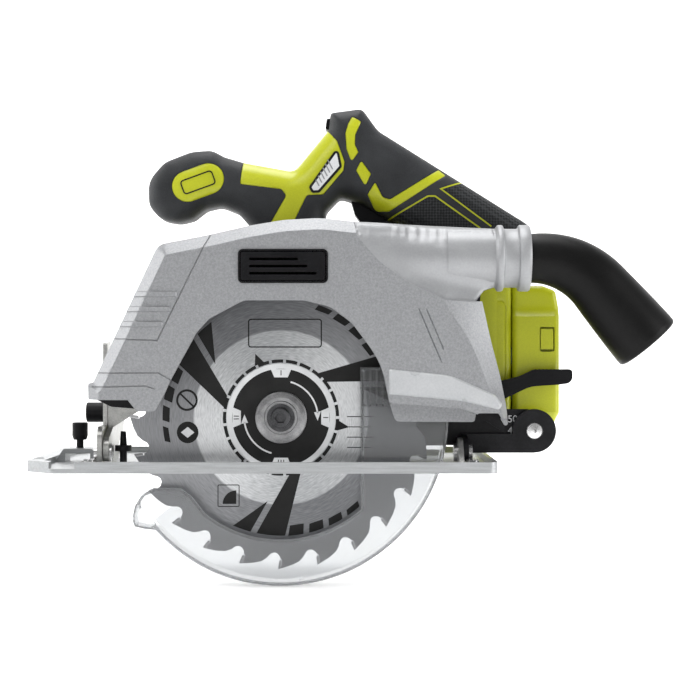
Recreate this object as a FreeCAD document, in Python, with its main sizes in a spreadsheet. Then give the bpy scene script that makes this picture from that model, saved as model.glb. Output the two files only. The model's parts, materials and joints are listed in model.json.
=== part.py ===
import FreeCAD, Part
import math
import os
import re
from FreeCAD import Placement, Rotation, Vector

# A cordless circular saw with a 165 mm blade, in millimetres.
# +X points to the back of the saw, +Z up, and the blade is on the -Y side.
# The origin is the centre of the shoe's sole. "Depth" offsets along Y that the
# sheet calls ..._in and ..._out are measured from the blade's middle plane.

# ---------------------------------------------------------------- the sheet
DIMENSIONS = [
    # blade, arbor and gears
    ("blade_y", -45.0), ("arbor_x", 10.0), ("arbor_z", 28.5), ("blade_radius", 82.5),
    ("blade_thick", 1.2), ("kerf_wide", 1.7), ("bore_radius", 8.0), ("tooth_count", 24),
    ("gear_teeth", 46), ("pinion_teeth", 12), ("gear_module", 1.0), ("gear_wide", 8.0),
    ("motor_angle", 45.0), ("motor_radius", 22.0), ("spindle_radius", 6.0),
    # shoe
    ("shoe_long", 252.0), ("shoe_wide", 150.0), ("shoe_thick", 2.5), ("lip_high", 6.0),
    ("lip_wide", 2.5), ("slot_front", -83.0), ("slot_back", 103.5), ("slot_near", -13.0),
    ("slot_far", 28.0), ("guide_x", -105.0), ("guide_y", -10.0), ("guide_wide", 14.0),
    ("guide_high", 4.8),
    # bevel hinge, depth hinge and their locks
    ("bevel_z", 9.5), ("bevel_max", 50.0), ("knob_arc", 55.3), ("knob_angle", 21.2),
    ("quadrant_x", -89.0), ("plate_thick", 2.5), ("bracket_x", -86.2), ("bracket_thick", 3.0),
    ("depth_x", -76.0), ("depth_z", 44.0), ("depth_max", 33.0), ("clamp_x", 88.0),
    ("clamp_z", 36.0), ("ear_x", 106.2), ("arm_in", 12.6), ("arm_thick", 3.2),
    ("link_in", 16.1), ("link_thick", 2.8), ("rivet_x", 149.5), ("rivet_z", 20.6),
    ("boss_radius", 12.0), ("pin_radius", 2.5),
    # guards
    ("guard_near", -22.0), ("guard_round", 8.0), ("guard_wall", 2.2), ("plate_in", 10.0),
    ("plate_out", 12.0), ("lower_radius", 91.0), ("lower_half", 8.5), ("lower_wall", 1.8),
    ("lower_inner", 66.0), ("hub_radius", 19.0), ("hub_ring", 30.0),
    # dust duct and elbow
    ("duct_y", -51.0), ("duct_z", 115.0), ("duct_radius", 15.9), ("duct_bore", 13.7),
    ("ring_radius", 18.0), ("duct_end", 144.8), ("elbow_angle", 49.5), ("elbow_corner", 169.6),
    ("elbow_bend", 45.0), ("outlet_radius", 18.9), ("outlet_long", 30.0),
    # handle, housing and battery
    ("shell_wall", 2.5), ("handle_in", 29.0), ("handle_out", 61.0), ("split_in", 45.0),
    ("housing_in", 27.0), ("housing_out", 103.0), ("pad_thick", 2.0), ("pack_front", 118.0),
    ("pack_split", 138.5), ("pack_back", 165.4), ("pack_low", 14.8), ("pack_high", 101.7),
    ("cell_radius", 9.0), ("cell_long", 65.0),
]

doc = FreeCAD.newDocument("CircularSaw")
sheet = doc.addObject("Spreadsheet::Sheet", "Dims")
for row, (alias, value) in enumerate(DIMENSIONS, start=1):
    sheet.set(f"A{row}", str(value))
    sheet.setAlias(f"A{row}", alias)
doc.recompute()
ALIASES = {alias for alias, value in DIMENSIONS}


class Numbers:
    """Reads the sheet's cells by their alias."""

    def __getattr__(self, alias):
        return float(sheet.get(alias))


d = Numbers()
PARTS = []


def formula(text):
    """An expression on the sheet's cells, from one that names only aliases."""
    return re.sub(r"[a-z_]+", lambda word: f"Dims.{word[0]}" if word[0] in ALIASES else word[0], str(text))


def keep(item, label):
    item.Label = label
    PARTS.append(item)
    return item


def polar(x, z, radius, degrees):
    angle = math.radians(degrees)
    return (x + radius * math.cos(angle), z + radius * math.sin(angle))


def arc_points(x, z, radius, first, last, count):
    step = (last - first) / (count - 1)
    return [polar(x, z, radius, first + step * i) for i in range(count)]


def corner(before, point, after, radius):
    """Where a round of that radius starts and ends at a corner, and its middle point."""
    here = Vector(*point, 0)
    back = (Vector(*before, 0) - here).normalize()
    on = (Vector(*after, 0) - here).normalize()
    half = back.getAngle(on) / 2
    inward = (back + on).normalize()
    reach = radius / math.tan(half)
    middle = here + inward * (radius / math.sin(half) - radius)
    return here + back * reach, middle, here + on * reach


def loop_edges(points):
    """Edges of a closed outline. A point is (u, v) or (u, v, corner radius)."""
    flat = [tuple(p[:2]) for p in points]
    rounds = [p[2] if len(p) > 2 else 0.0 for p in points]
    ends, arcs = [], []
    for i, point in enumerate(flat):
        if rounds[i]:
            start, middle, stop = corner(flat[i - 1], point, flat[(i + 1) % len(flat)], rounds[i])
            arcs.append(Part.Arc(start, middle, stop))
            ends.append((start, stop))
        else:
            arcs.append(None)
            ends.append((Vector(*point, 0), Vector(*point, 0)))
    edges = []
    for i, arc in enumerate(arcs):
        if arc:
            edges.append(arc)
        first, last = ends[i][1], ends[(i + 1) % len(ends)][0]
        if first.distanceToPoint(last) > 1e-6:
            edges.append(Part.LineSegment(first, last))
    return edges


class Piece:
    """A PartDesign body built from pads, pockets and revolutions on its own origin planes."""

    def __init__(self, label, apart=True):
        self.body = doc.addObject("PartDesign::Body", label)
        if apart:
            keep(self.body, label)
        if hasattr(self.body, "AllowCompound"):
            self.body.AllowCompound = True
        self.count = 0

    def named(self, kind):
        self.count += 1
        return f"{self.body.Name}_{kind}{self.count}"

    def sketch(self, plane, shift, loops):
        """A sketch on XY, XZ or YZ. shift is three formulas, along the sketch's own axes."""
        made = self.body.newObject("Sketcher::SketchObject", self.named("sketch"))
        role = plane + "_Plane"
        origin_plane = [f for f in self.body.Origin.OriginFeatures if f.Role == role][0]
        made.AttachmentSupport = [(origin_plane, "")]
        made.MapMode = "FlatFace"
        for name, text in zip("xyz", shift):
            if str(text) != "0":
                made.setExpression(f"AttachmentOffset.Base.{name}", formula(text))
        for loop in loops:
            if isinstance(loop, Part.Circle):
                made.addGeometry(loop)
            else:
                for edge in loop_edges(loop):
                    made.addGeometry(edge)
        return made

    def place(self, plane, start):
        """The sketch's shift that puts its plane at start along the plane's own row axis."""
        return ("0", "0", f"0 - ( {start} )") if plane == "XZ" else ("0", "0", start)

    def pad(self, plane, start, length, *loops):
        made = self.sketch(plane, self.place(plane, start), loops)
        feature = self.body.newObject("PartDesign::Pad", self.named("pad"))
        feature.Profile = made
        feature.setExpression("Length", formula(length))
        feature.Reversed = plane == "XZ"
        return self.done(feature)

    def cut(self, plane, start, length, *loops):
        made = self.sketch(plane, self.place(plane, start), loops)
        feature = self.body.newObject("PartDesign::Pocket", self.named("pocket"))
        feature.Profile = made
        feature.setExpression("Length", formula(length))
        feature.Reversed = plane != "XZ"
        return self.done(feature)

    def turn(self, axis, at, loop, cut=False):
        """Revolves a (distance along axis, radius) outline. at is the axis's two other places."""
        plane, shift, line = {
            "X": ("XZ", ("0", at[1], f"0 - ( {at[0]} )"), "H_Axis"),
            "Y": ("YZ", ("0", at[1], at[0]), "H_Axis"),
            "Z": ("XZ", (at[0], "0", f"0 - ( {at[1]} )"), "V_Axis"),
        }[axis]
        points = [(p[1], p[0], *p[2:]) for p in loop] if axis == "Z" else loop
        made = self.sketch(plane, shift, [points])
        kind = "PartDesign::Groove" if cut else "PartDesign::Revolution"
        feature = self.body.newObject(kind, self.named("turned"))
        feature.Profile = made
        feature.ReferenceAxis = (made, [line])
        feature.Angle = 360
        return self.done(feature)

    def around(self, feature, plane, axis, count):
        """Repeats a feature evenly about an axis of a sketch that stands on the centre."""
        pattern = self.body.newObject("PartDesign::PolarPattern", self.named("pattern"))
        pattern.Originals = [feature]
        pattern.Axis = (plane, [axis])
        pattern.Angle = 360
        pattern.Occurrences = count
        return self.done(pattern)

    def done(self, feature):
        self.body.Tip = feature
        return feature


def circle(x, z, radius):
    return Part.Circle(Vector(x, z, 0), Vector(0, 0, 1), radius)


def box_loop(u0, u1, v0, v1, radius=0.0):
    return [(u0, v0, radius), (u1, v0, radius), (u1, v1, radius), (u0, v1, radius)]


def cylinder(name, radius, length, at, axis="Y"):
    """A Part::Cylinder whose radius, length and place are formulas on the sheet."""
    turns = {
        "X": Rotation(Vector(0, 1, 0), 90),
        "Y": Rotation(Vector(1, 0, 0), -90),
        "Z": Rotation(),
    }
    made = doc.addObject("Part::Cylinder", name)
    made.Placement = Placement(Vector(), turns[axis])
    made.setExpression("Radius", formula(radius))
    made.setExpression("Height", formula(length))
    for letter, text in zip("xyz", at):
        made.setExpression(f"Placement.Base.{letter}", formula(text))
    return made


def fused(label, *shapes):
    made = doc.addObject("Part::MultiFuse", label)
    made.Shapes = list(shapes)
    return made


def less(label, base, tool):
    made = doc.addObject("Part::Cut", label)
    made.Base = base
    made.Tool = tool
    return made


def together(label, shapes):
    """Separate identical solids that share one node."""
    made = doc.addObject("Part::Compound", label)
    made.Links = list(shapes)
    return keep(made, label)


def screws(label, places, head_out, radius=1.5):
    """Screws along Y at (x, z, head's seat, shank length). head_out is -1 or +1 along Y."""
    made = []
    for i, (x, z, seat, long) in enumerate(places):
        head_y = seat if head_out > 0 else f"{seat} - {radius}"
        shank_y = f"{seat} - {long}" if head_out > 0 else seat
        head = cylinder(f"{label}_head{i}", 2 * radius, radius, (x, head_y, z))
        shank = cylinder(f"{label}_shank{i}", radius, long, (x, shank_y, z))
        socket = doc.addObject("Part::Prism", f"{label}_socket{i}")
        socket.Polygon = 6
        socket.Circumradius = 0.9 * radius
        socket.Height = 0.7 * radius
        socket.Placement = Placement(Vector(), Rotation(Vector(1, 0, 0), -90))
        socket_y = f"{seat} + {0.3 * radius}" if head_out > 0 else head_y
        for letter, text in zip("xyz", (x, socket_y, z)):
            socket.setExpression(f"Placement.Base.{letter}", formula(text))
        screw = fused(f"{label}_solid{i}", head, shank)
        made.append(less(f"{label}_screw{i}", screw, socket))
    return together(label, made)


ARBOR = ("arbor_x", "arbor_z")
MOTOR_X = d.arbor_x + 0.5 * (d.gear_teeth + d.pinion_teeth) * math.cos(math.radians(d.motor_angle))
MOTOR_Z = d.arbor_z + 0.5 * (d.gear_teeth + d.pinion_teeth) * math.sin(math.radians(d.motor_angle))
CENTRES = "( gear_teeth + pinion_teeth ) * gear_module / 2"
MOTOR = (f"arbor_x + {CENTRES} * cos( motor_angle * 1deg )",
         f"arbor_z + {CENTRES} * sin( motor_angle * 1deg )")


# ---------------------------------------------------------------- shoe and bevel stand
RIVETS = [(-93.4, -51.2), (-93.4, 9.5), (113.5, -62.4), (113.5, -55.6)]
STOP_SCREW = (-78.0, -29.4)


def shoe():
    half_long, half_wide = d.shoe_long / 2, d.shoe_wide / 2
    nose, rim = 16.0, d.lip_wide
    made = Piece("shoe")
    outline = [(-half_long, -half_wide + nose, 4), (-half_long + nose, -half_wide, 4),
               (half_long, -half_wide, 5), (half_long, half_wide, 8),
               (-half_long + nose, half_wide, 4), (-half_long, half_wide - nose, 4)]
    made.pad("XY", "0", "lip_high", outline)
    inner = [(-half_long + 9, -half_wide + nose + 1, 3), (-half_long + nose + 5, -half_wide + rim, 3),
             (half_long - rim, -half_wide + rim, 3), (half_long - rim, half_wide - rim, 6),
             (-half_long + nose + 5, half_wide - rim, 3), (-half_long + 9, half_wide - nose - 1, 3)]
    made.cut("XY", "shoe_thick", "lip_high", inner)
    slot = box_loop(d.slot_front, d.slot_back, d.blade_y + d.slot_near, d.blade_y + d.slot_far, 4)
    made.cut("XY", "0 - 1", "lip_high + 2", slot)
    # relief under the gear case
    made.cut("XY", "0 - 1", "lip_high + 2", box_loop(d.arbor_x - 15, d.arbor_x + 15, d.blade_y + d.slot_far - 6, d.blade_y + 41, 4))
    # kerf notches in the front edge: 0 degrees at the blade, 45 degrees beside it
    made.cut("XY", "0 - 1", "lip_high + 2",
             box_loop(-half_long - 5, -half_long + 7, d.blade_y - 2.5, d.blade_y + 2.5, 1),
             box_loop(-half_long - 5, -half_long + 5, d.blade_y + 7.5, d.blade_y + 11.5, 1))
    # passage for the edge guide's bar through both lips
    made.cut("XY", "shoe_thick", "lip_high",
             box_loop(d.guide_x - d.guide_wide / 2, d.guide_x + d.guide_wide / 2, -half_wide - 5, half_wide + 5))
    # bridge over that passage, tapped for the clamp screw
    leg, top = 4.0, 2.7
    wide, high = d.guide_wide / 2, d.shoe_thick + d.guide_high
    bridge = [(d.guide_x - wide - leg - 2, d.shoe_thick - 0.5), (d.guide_x - wide, d.shoe_thick - 0.5),
              (d.guide_x - wide, high), (d.guide_x + wide, high), (d.guide_x + wide, d.shoe_thick - 0.5),
              (d.guide_x + wide + leg + 2, d.shoe_thick - 0.5), (d.guide_x + wide + 1, high + top, 2),
              (d.guide_x - wide - 1, high + top, 2)]
    made.pad("XZ", "guide_y - 9", "18", bridge)
    made.cut("XY", "shoe_thick + guide_high - 0.2", "5", circle(d.guide_x, d.guide_y, 2.05))
    # holes of the rivets that hold the bevel stand and the rear ear
    for x, y in RIVETS:
        made.cut("XY", "0 - 1", "lip_high + 2", circle(x, y, 2.05))
    made.cut("XY", "0 - 1", "lip_high + 2", circle(*STOP_SCREW, 2.05))


def stand_rivets():
    """Rivets of the stand's feet, and the two pins that the head tilts on."""
    front = [(-91.6, 0), (-82.0, 0), (-82.0, 5), (-83.0, 5), (-83.0, 2.5), (-89.2, 2.5), (-89.2, 4.4), (-91.6, 4.4)]
    back = [(103.9, 0), (114.2, 0), (114.2, 5), (112.2, 5), (112.2, 2.5), (106.0, 2.5), (106.0, 5), (103.9, 5)]
    made = []
    for name, profile in (("front_pin", front), ("back_pin", back)):
        pin = Piece(name, apart=False)
        pin.turn("X", ("blade_y", "bevel_z"), profile)
        made.append(pin.body)
    for i, (x, y) in enumerate(RIVETS):
        shank = cylinder(f"rivet_shank{i}", 2.0, "shoe_thick + 2.5 - 0.3", (x, y, "0.3"), "Z")
        head = cylinder(f"rivet_head{i}", 3.2, 1.2, (x, y, "shoe_thick + 2.5"), "Z")
        made.append(fused(f"rivet_solid{i}", shank, head))
    together("stand_rivets", made)


def bevel_quadrant():
    """Upright plate at the front, with the arc slot that the bevel bolt runs in."""
    y0, z0 = d.blade_y, d.bevel_z
    plate = [(y0 - 10, d.shoe_thick, 1), (y0 + 62, d.shoe_thick, 1), (y0 + 62.5, 22, 8), (y0 + 57, 40, 10),
             (y0 + 43, 57, 12), (y0 + 24, 70.3, 5), (y0 + 13.4, 70.3, 2.5), (y0 + 13.4, 24, 1), (y0 - 10, 24, 6)]
    made = Piece("bevel_quadrant")
    made.pad("YZ", "quadrant_x", "plate_thick", plate)
    foot = box_loop(-97.7, d.quadrant_x + 0.1, y0 - 10, y0 - 0.5, 2)
    wide_foot = box_loop(-97.7, d.quadrant_x + 0.1, y0 + 48, y0 + 61, 2)
    made.pad("XY", "shoe_thick", "2.5", foot, wide_foot)
    made.cut("YZ", "quadrant_x - 1", "plate_thick + 2", circle(y0, z0, d.pin_radius + 0.05))
    first, last, half = d.knob_angle, d.knob_angle + d.bevel_max, 2.1
    slot = (arc_points(y0, z0, d.knob_arc + half, first - 1, last + 1, 13)
            + arc_points(y0, z0, d.knob_arc - half, last + 1, first - 1, 13))
    made.cut("YZ", "quadrant_x - 1", "plate_thick + 2", slot)
    for angle in (first, last):
        end = polar(y0, z0, d.knob_arc, angle)
        made.cut("YZ", "quadrant_x - 1", "plate_thick + 2", circle(*end, half))
    for x, y in RIVETS[:2]:
        made.cut("XY", "0", "8", circle(x, y, 2.05))


def rear_ear():
    y0, z0 = d.blade_y, d.bevel_z
    ear = [(y0 - 21, d.shoe_thick), (y0 + 9, d.shoe_thick), (y0 + 9, z0 + 8, 7), (y0 - 8, z0 + 8, 7), (y0 - 21, 5.0)]
    made = Piece("rear_ear")
    made.pad("YZ", "ear_x", "plate_thick", ear)
    made.pad("XY", "shoe_thick", "2.5", box_loop(d.ear_x + 0.5, 118, y0 - 21, y0 - 7.2, 2))
    made.cut("YZ", "ear_x - 1", "plate_thick + 2", circle(y0, z0, d.pin_radius + 0.05))
    for x, y in RIVETS[2:]:
        made.cut("XY", "0", "8", circle(x, y, 2.05))


def bevel_stop_screw():
    profile = [(0.4, 0), (20.3, 0), (20.3, 1.5, 0.4), (13, 2.0), (12.6, 2.0), (12.6, 4.6), (9.4, 4.6), (9.4, 2.0), (0.4, 2.0)]
    made = Piece("bevel_stop_screw")
    made.turn("Z", (STOP_SCREW[0], STOP_SCREW[1]), profile)


def guide_clamp_screw():
    """Thumb screw that presses on the edge guide's bar, its head moulded on."""
    made = Piece("guide_clamp_screw")
    low = d.shoe_thick + d.guide_high
    made.turn("Z", ("guide_x", "guide_y"), [(low, 0), (24.4, 0), (24.4, 4.4, 0.8), (17, 4.4), (14.6, 3.6), (14.6, 2.0), (low, 2.0)])


# ---------------------------------------------------------------- bevel carriage
def front_bracket():
    """Tilting plate behind the quadrant, with the ear that carries the depth pin."""
    y0, z0 = d.blade_y, d.bevel_z
    knob = polar(y0, z0, d.knob_arc, d.knob_angle)
    plate = [(y0 - 6.4, 4.6, 4), (y0 + 14, 5.0, 3), (knob[0] + 8, knob[1] - 9, 7), (knob[0] + 8, knob[1] + 8, 7),
             (y0 + 28, 52, 6), (y0 + 13.6, 52, 2), (y0 + 13.6, 23, 1), (y0 - 6.4, 17, 5)]
    made = Piece("front_bracket")
    made.pad("YZ", "bracket_x", "bracket_thick", plate)
    ear = [(d.bracket_x + 1, 21.5), (d.depth_x + 9, 33, 5), (d.depth_x + 9, 52, 7), (d.bracket_x + 1, 52)]
    made.pad("XZ", "blade_y + 13.6", "3.2", ear)
    made.cut("YZ", "bracket_x - 1", "bracket_thick + 2", circle(y0, z0, d.pin_radius + 0.05))
    made.cut("YZ", "bracket_x - 1", "bracket_thick + 2", circle(*knob, 2.05))
    made.cut("XZ", "blade_y + 12", "6", circle(d.depth_x, d.depth_z, d.pin_radius + 0.02))


def carriage_pins():
    """The pin that the head swings on for depth, and the rivet of the link's foot."""
    y0 = d.blade_y
    depth_pin = Piece("depth_pin", apart=False)
    depth_pin.turn("Y", ("depth_x", "depth_z"), [(y0 + 8.4, 0), (y0 + 20, 0), (y0 + 20, 5, 0.8), (y0 + 16.9, 5), (y0 + 16.9, 2.5),
                                                 (y0 + 9.8, 2.5), (y0 + 9.8, 4.2), (y0 + 8.4, 4.2)])
    foot_rivet = Piece("foot_rivet", apart=False)
    foot_rivet.turn("Y", ("rivet_x", "rivet_z"), [(y0 + 11.4, 0), (y0 + 20.4, 0), (y0 + 20.4, 4.2), (y0 + 19.0, 4.5), (y0 + 19.0, 3.0),
                                                  (y0 + 12.5, 3.0), (y0 + 12.5, 4.6), (y0 + 11.8, 4.2)])
    together("carriage_pins", [depth_pin.body, foot_rivet.body])


def link_outline():
    """Arc band about the depth pin, with a foot that reaches the rear rivet."""
    x0, z0 = d.depth_x, d.depth_z
    reach = math.hypot(d.clamp_x - x0, d.clamp_z - z0)
    start = math.degrees(math.atan2(d.clamp_z - z0, d.clamp_x - x0))
    half = 7.5
    outer = arc_points(x0, z0, reach + half, start + 1.5, start + d.depth_max + 2.6, 9)
    inner = arc_points(x0, z0, reach - half, start + d.depth_max + 2.6, start - 3.5, 11)
    foot = [(inner[-1][0] + 4, 12.5, 4), (d.rivet_x - 8, 12.5), (d.rivet_x + 4, 13.5, 4),
            (d.rivet_x + 9, 24, 6), (d.rivet_x - 2, 32.5, 6), (outer[0][0] + 6, 32.5, 4)]
    return outer, inner, foot, reach, start


def depth_link():
    """Curved plate that the depth lever clamps, slotted about the depth pin."""
    outer, inner, foot, reach, start = link_outline()
    made = Piece("depth_link")
    made.pad("XZ", "blade_y + link_in", "link_thick", outer + inner + foot)
    x0, z0, half = d.depth_x, d.depth_z, 2.7
    first, last = start - 1.3, start + d.depth_max + 1.3
    slot = arc_points(x0, z0, reach + half, first, last, 13) + arc_points(x0, z0, reach - half, last, first, 13)
    made.cut("XZ", "blade_y + link_in - 1", "link_thick + 2", slot)
    made.cut("XZ", "blade_y + link_in - 1", "link_thick + 2", circle(d.rivet_x, d.rivet_z, 3.05))


def rear_arm():
    y0 = d.blade_y
    low, high = 8.5, 19.0
    x0 = d.ear_x + d.plate_thick + 0.3
    made = Piece("rear_arm")
    arm = [(x0, low), (d.rivet_x, low), (d.rivet_x, high), (x0, high)]
    made.pad("XZ", "blade_y + arm_in", "arm_thick", arm)
    made.pad("XZ", "blade_y + arm_in", "arm_thick", circle(d.rivet_x, d.rivet_z, d.boss_radius))
    cheek = [(y0 - 6.4, 4.6, 4), (y0 + d.arm_in + d.arm_thick, 5.6, 2), (y0 + d.arm_in + d.arm_thick, high), (y0 - 6.4, 16.5, 6)]
    made.pad("YZ", f"ear_x + plate_thick + 0.3", "3", cheek)
    made.cut("YZ", "ear_x + plate_thick - 1", "6", circle(y0, d.bevel_z, d.pin_radius + 0.05))
    made.cut("XZ", "blade_y + arm_in - 1", "arm_thick + 2", circle(d.rivet_x, d.rivet_z, 3.05))


def bevel_lock():
    y_knob, z_knob = polar(d.blade_y, d.bevel_z, d.knob_arc, d.knob_angle)
    bolt = Piece("bevel_bolt")
    bolt.turn("X", (f"{y_knob:.4f}", f"{z_knob:.4f}"), [(-98, 0), (-81.0, 0), (-81.0, 3.8), (-83.1, 3.8), (-83.1, 2.0), (-98, 2.0)])
    knob = Piece("bevel_knob")
    knob.turn("X", (f"{y_knob:.4f}", f"{z_knob:.4f}"), [(-103.6, 0), (-98.1, 0), (-98.1, 2.05), (-89.2, 2.05), (-89.2, 6.3, 0.6),
                                                        (-91.4, 6.3), (-91.8, 5.7), (-103.6, 5.7, 0.8)])


# ---------------------------------------------------------------- guards
RIM = [(-93.4, 38.5), (-93.4, 47.4, 1.5), (-90.3, 48.0), (-55.4, 122.0, 8), (-29.5, 126.6), (-7.2, 132.2),
       (23.9, 136.4), (37.2, 136.4), (52, 134.0), (118, 131.4, 2), (118.6, 84.0), (123.2, 70.7), (128.5, 50.4),
       (131.5, 35.3), (133.3, 19.5)]
WINDOW = [(-48.6, 47.0), (-38.5, 65.5), (-32.9, 76.7, 4), (-27.0, 82.2), (-9.1, 91.8, 5), (23.2, 91.8), (37.0, 88.4), (48.6, 79.7),
          (58.2, 66.9), (64.6, 56.7), (68.2, 38.8)]


def moved_rim(points, inset):
    """The rim's points moved inward by inset, each along the mitre of its two edges."""
    flat = [Vector(p[0], p[1], 0) for p in points]
    made = []
    for i, point in enumerate(flat):
        before = (point - flat[i - 1]).normalize() if i else None
        after = (flat[i + 1] - point).normalize() if i + 1 < len(flat) else None
        sides = [Vector(v.y, -v.x, 0) for v in (before, after) if v]
        mitre = sum(sides[1:], sides[0]).normalize()
        made.append(point + mitre * (inset / mitre.dot(sides[0])))
    return [(p.x, p.y) for p in made]


def loft_between(name, lower, upper, y_lower, y_upper):
    """A ruled Part::Loft between two outlines in XZ planes at the given depths."""
    rings = []
    for i, (points, y) in enumerate(((lower, y_lower), (upper, y_upper))):
        ring = doc.addObject("Sketcher::SketchObject", f"{name}_ring{i}")
        ring.Placement = Placement(Vector(0, d.blade_y + y, 0), Rotation(Vector(1, 0, 0), 90))
        for first, last in zip(points, points[1:] + points[:1]):
            ring.addGeometry(Part.LineSegment(Vector(*first, 0), Vector(*last, 0)))
        rings.append(ring)
    made = doc.addObject("Part::Loft", name)
    made.Sections = rings
    made.Solid = True
    made.Ruled = True
    return made


def prism(name, points, y_start, y_end):
    """A Part::Extrusion along Y of an outline in XZ."""
    ring = doc.addObject("Sketcher::SketchObject", f"{name}_ring")
    ring.Placement = Placement(Vector(0, d.blade_y + y_start, 0), Rotation(Vector(1, 0, 0), 90))
    for edge in loop_edges(points):
        ring.addGeometry(edge)
    made = doc.addObject("Part::Extrusion", name)
    made.Base = ring
    made.DirMode = "Custom"
    made.Dir = Vector(0, 1, 0)
    made.LengthFwd = y_end - y_start
    made.Solid = True
    return made


def upper_guard():
    """Outer cover: a rim wall and a near wall with a rounded edge and a window, open below."""
    near, wall, bevel = d.guard_near, d.guard_wall, d.guard_round
    bottom = [(122.5, 26.3), (72, 26.8), (68.2, 38.8), (-51.1, 42.3), (-56.3, 32.5), (-66.1, 32.5), (-70.9, 38.5)]
    flat_rim = [p[:2] for p in RIM]
    outer = fused("guard_outer", prism("guard_side", flat_rim + bottom, near + bevel, d.plate_in),
                  loft_between("guard_edge", flat_rim + bottom, moved_rim(RIM, bevel * 0.8) + bottom, near + bevel, near))
    inner_rim = moved_rim(RIM, wall)
    open_bottom = [(inner_rim[-1][0], 5), (inner_rim[0][0], 5)]
    deep_rim = moved_rim(RIM, wall + bevel * 0.8)
    hollow = fused("guard_hollow", prism("guard_space", inner_rim + open_bottom, near + bevel, d.plate_in + 1),
                   loft_between("guard_space_edge", inner_rim + open_bottom,
                                deep_rim + [(deep_rim[-1][0], 5), (deep_rim[0][0], 5)], near + bevel, near + wall))
    window = prism("guard_window", WINDOW + [(68.2, 0), (-48.6, 0)], near - 2, near + wall + 1)
    shell = less("guard_shell", outer, hollow)
    duct_mouth = cylinder("duct_mouth", "duct_bore", 60, ("70", "duct_y", "duct_z"), "X")
    skirt_space = prism("skirt_space", LEDGE + [(140, 24), (140, 0), (60, 0), (60, LEDGE[0][1])], near - 2, SKIRT_NEAR)
    open_shell = less("guard_open", less("guard_windowed", shell, window), skirt_space)
    skirt = prism("guard_skirt", LEDGE + [(132.2, 28.0), (133.3, 19.5), (122.5, 26.3), (72, 26.8, 3)], SKIRT_NEAR, SKIRT_NEAR + wall)
    shelf = prism("guard_shelf", LEDGE + [(x, z + wall) for x, z in reversed(LEDGE)], near + 0.5, SKIRT_NEAR + wall)
    whole = less("guard_whole", fused("guard_skirted", open_shell, skirt, shelf), duct_mouth)
    corner_block = prism("duct_corner", DUCT_SEAM, near - 2, d.plate_in + 1)
    keep(less("upper_guard", whole, corner_block), "upper_guard")
    dust_duct(whole, corner_block)


SKIRT_NEAR = -13.0
LEDGE = [(68.2, 38.8), (106.8, 35.7), (122.5, 30.1), (130.2, 30.1)]
DUCT_SEAM = [(49.7, 140), (49.7, 133.5), (51.3, 126.1), (63.5, 112.2), (81.7, 99.4), (99.2, 91.4), (125, 91.4), (125, 140)]


def dust_duct(guard, corner_block):
    """The guard's back corner, a casting of its own, with the round spigot for the elbow."""
    spigot = Piece("duct_spigot", apart=False)
    front = 115.5
    spigot.turn("X", ("duct_y", "duct_z"), [(front, d.duct_bore), (d.duct_end, d.duct_bore), (d.duct_end, d.ring_radius, 0.8),
                                            (138.3, d.ring_radius, 0.8), (138.3, d.duct_radius), (130.3, d.duct_radius),
                                            (130.3, d.ring_radius, 0.8), (126.5, d.ring_radius, 0.8), (126.5, d.duct_radius),
                                            (front, d.duct_radius)])
    casting = doc.addObject("Part::Common", "duct_casting")
    casting.Base = guard
    casting.Tool = corner_block
    keep(fused("dust_duct", casting, spigot.body), "dust_duct")


def dust_elbow():
    """Rubber elbow: a spigot in the duct, a bend, and a socket for a vacuum hose."""
    turn = math.radians(d.elbow_angle)
    reach = d.elbow_bend * math.tan(turn / 2)
    bend_x = d.elbow_corner - reach
    mouth, across = Vector(1, 0, 0), Vector(0, 1, 0)
    along = Vector(math.cos(turn), 0, -math.sin(turn))
    bend_end = Vector(d.elbow_corner, d.duct_y, d.duct_z) + along * reach

    def tube(wall):
        """The elbow's solid, thinner by wall: a spigot, a cone, the bend, a cone and the socket."""
        entry, bend = 13.6 - wall, 16.4 - wall
        spigot = Part.makeCylinder(entry, 12.6, Vector(133, d.duct_y, d.duct_z), mouth)
        flare = Part.makeCone(entry, bend, bend_x - 145.6, Vector(145.6, d.duct_y, d.duct_z), mouth)
        disc = Part.Face(Part.Wire(Part.Circle(Vector(bend_x, d.duct_y, d.duct_z), mouth, bend).toShape()))
        pivot = Vector(bend_x, d.duct_y, d.duct_z - d.elbow_bend)
        curve = disc.revolve(pivot, across, d.elbow_angle)
        widening = Part.makeCone(bend, d.outlet_radius - wall, 10, bend_end, along)
        socket = Part.makeCylinder(d.outlet_radius - wall, d.outlet_long, bend_end + along * 10, along)
        return [spigot, flare, curve, widening, socket]

    outer, inner = tube(0), tube(2.9)
    solid = outer[0].multiFuse(outer[1:])
    space = inner[0].multiFuse(inner[1:])
    made = doc.addObject("Part::Feature", "dust_elbow")
    made.Shape = solid.cut(space)
    keep(made, "dust_elbow")


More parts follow.
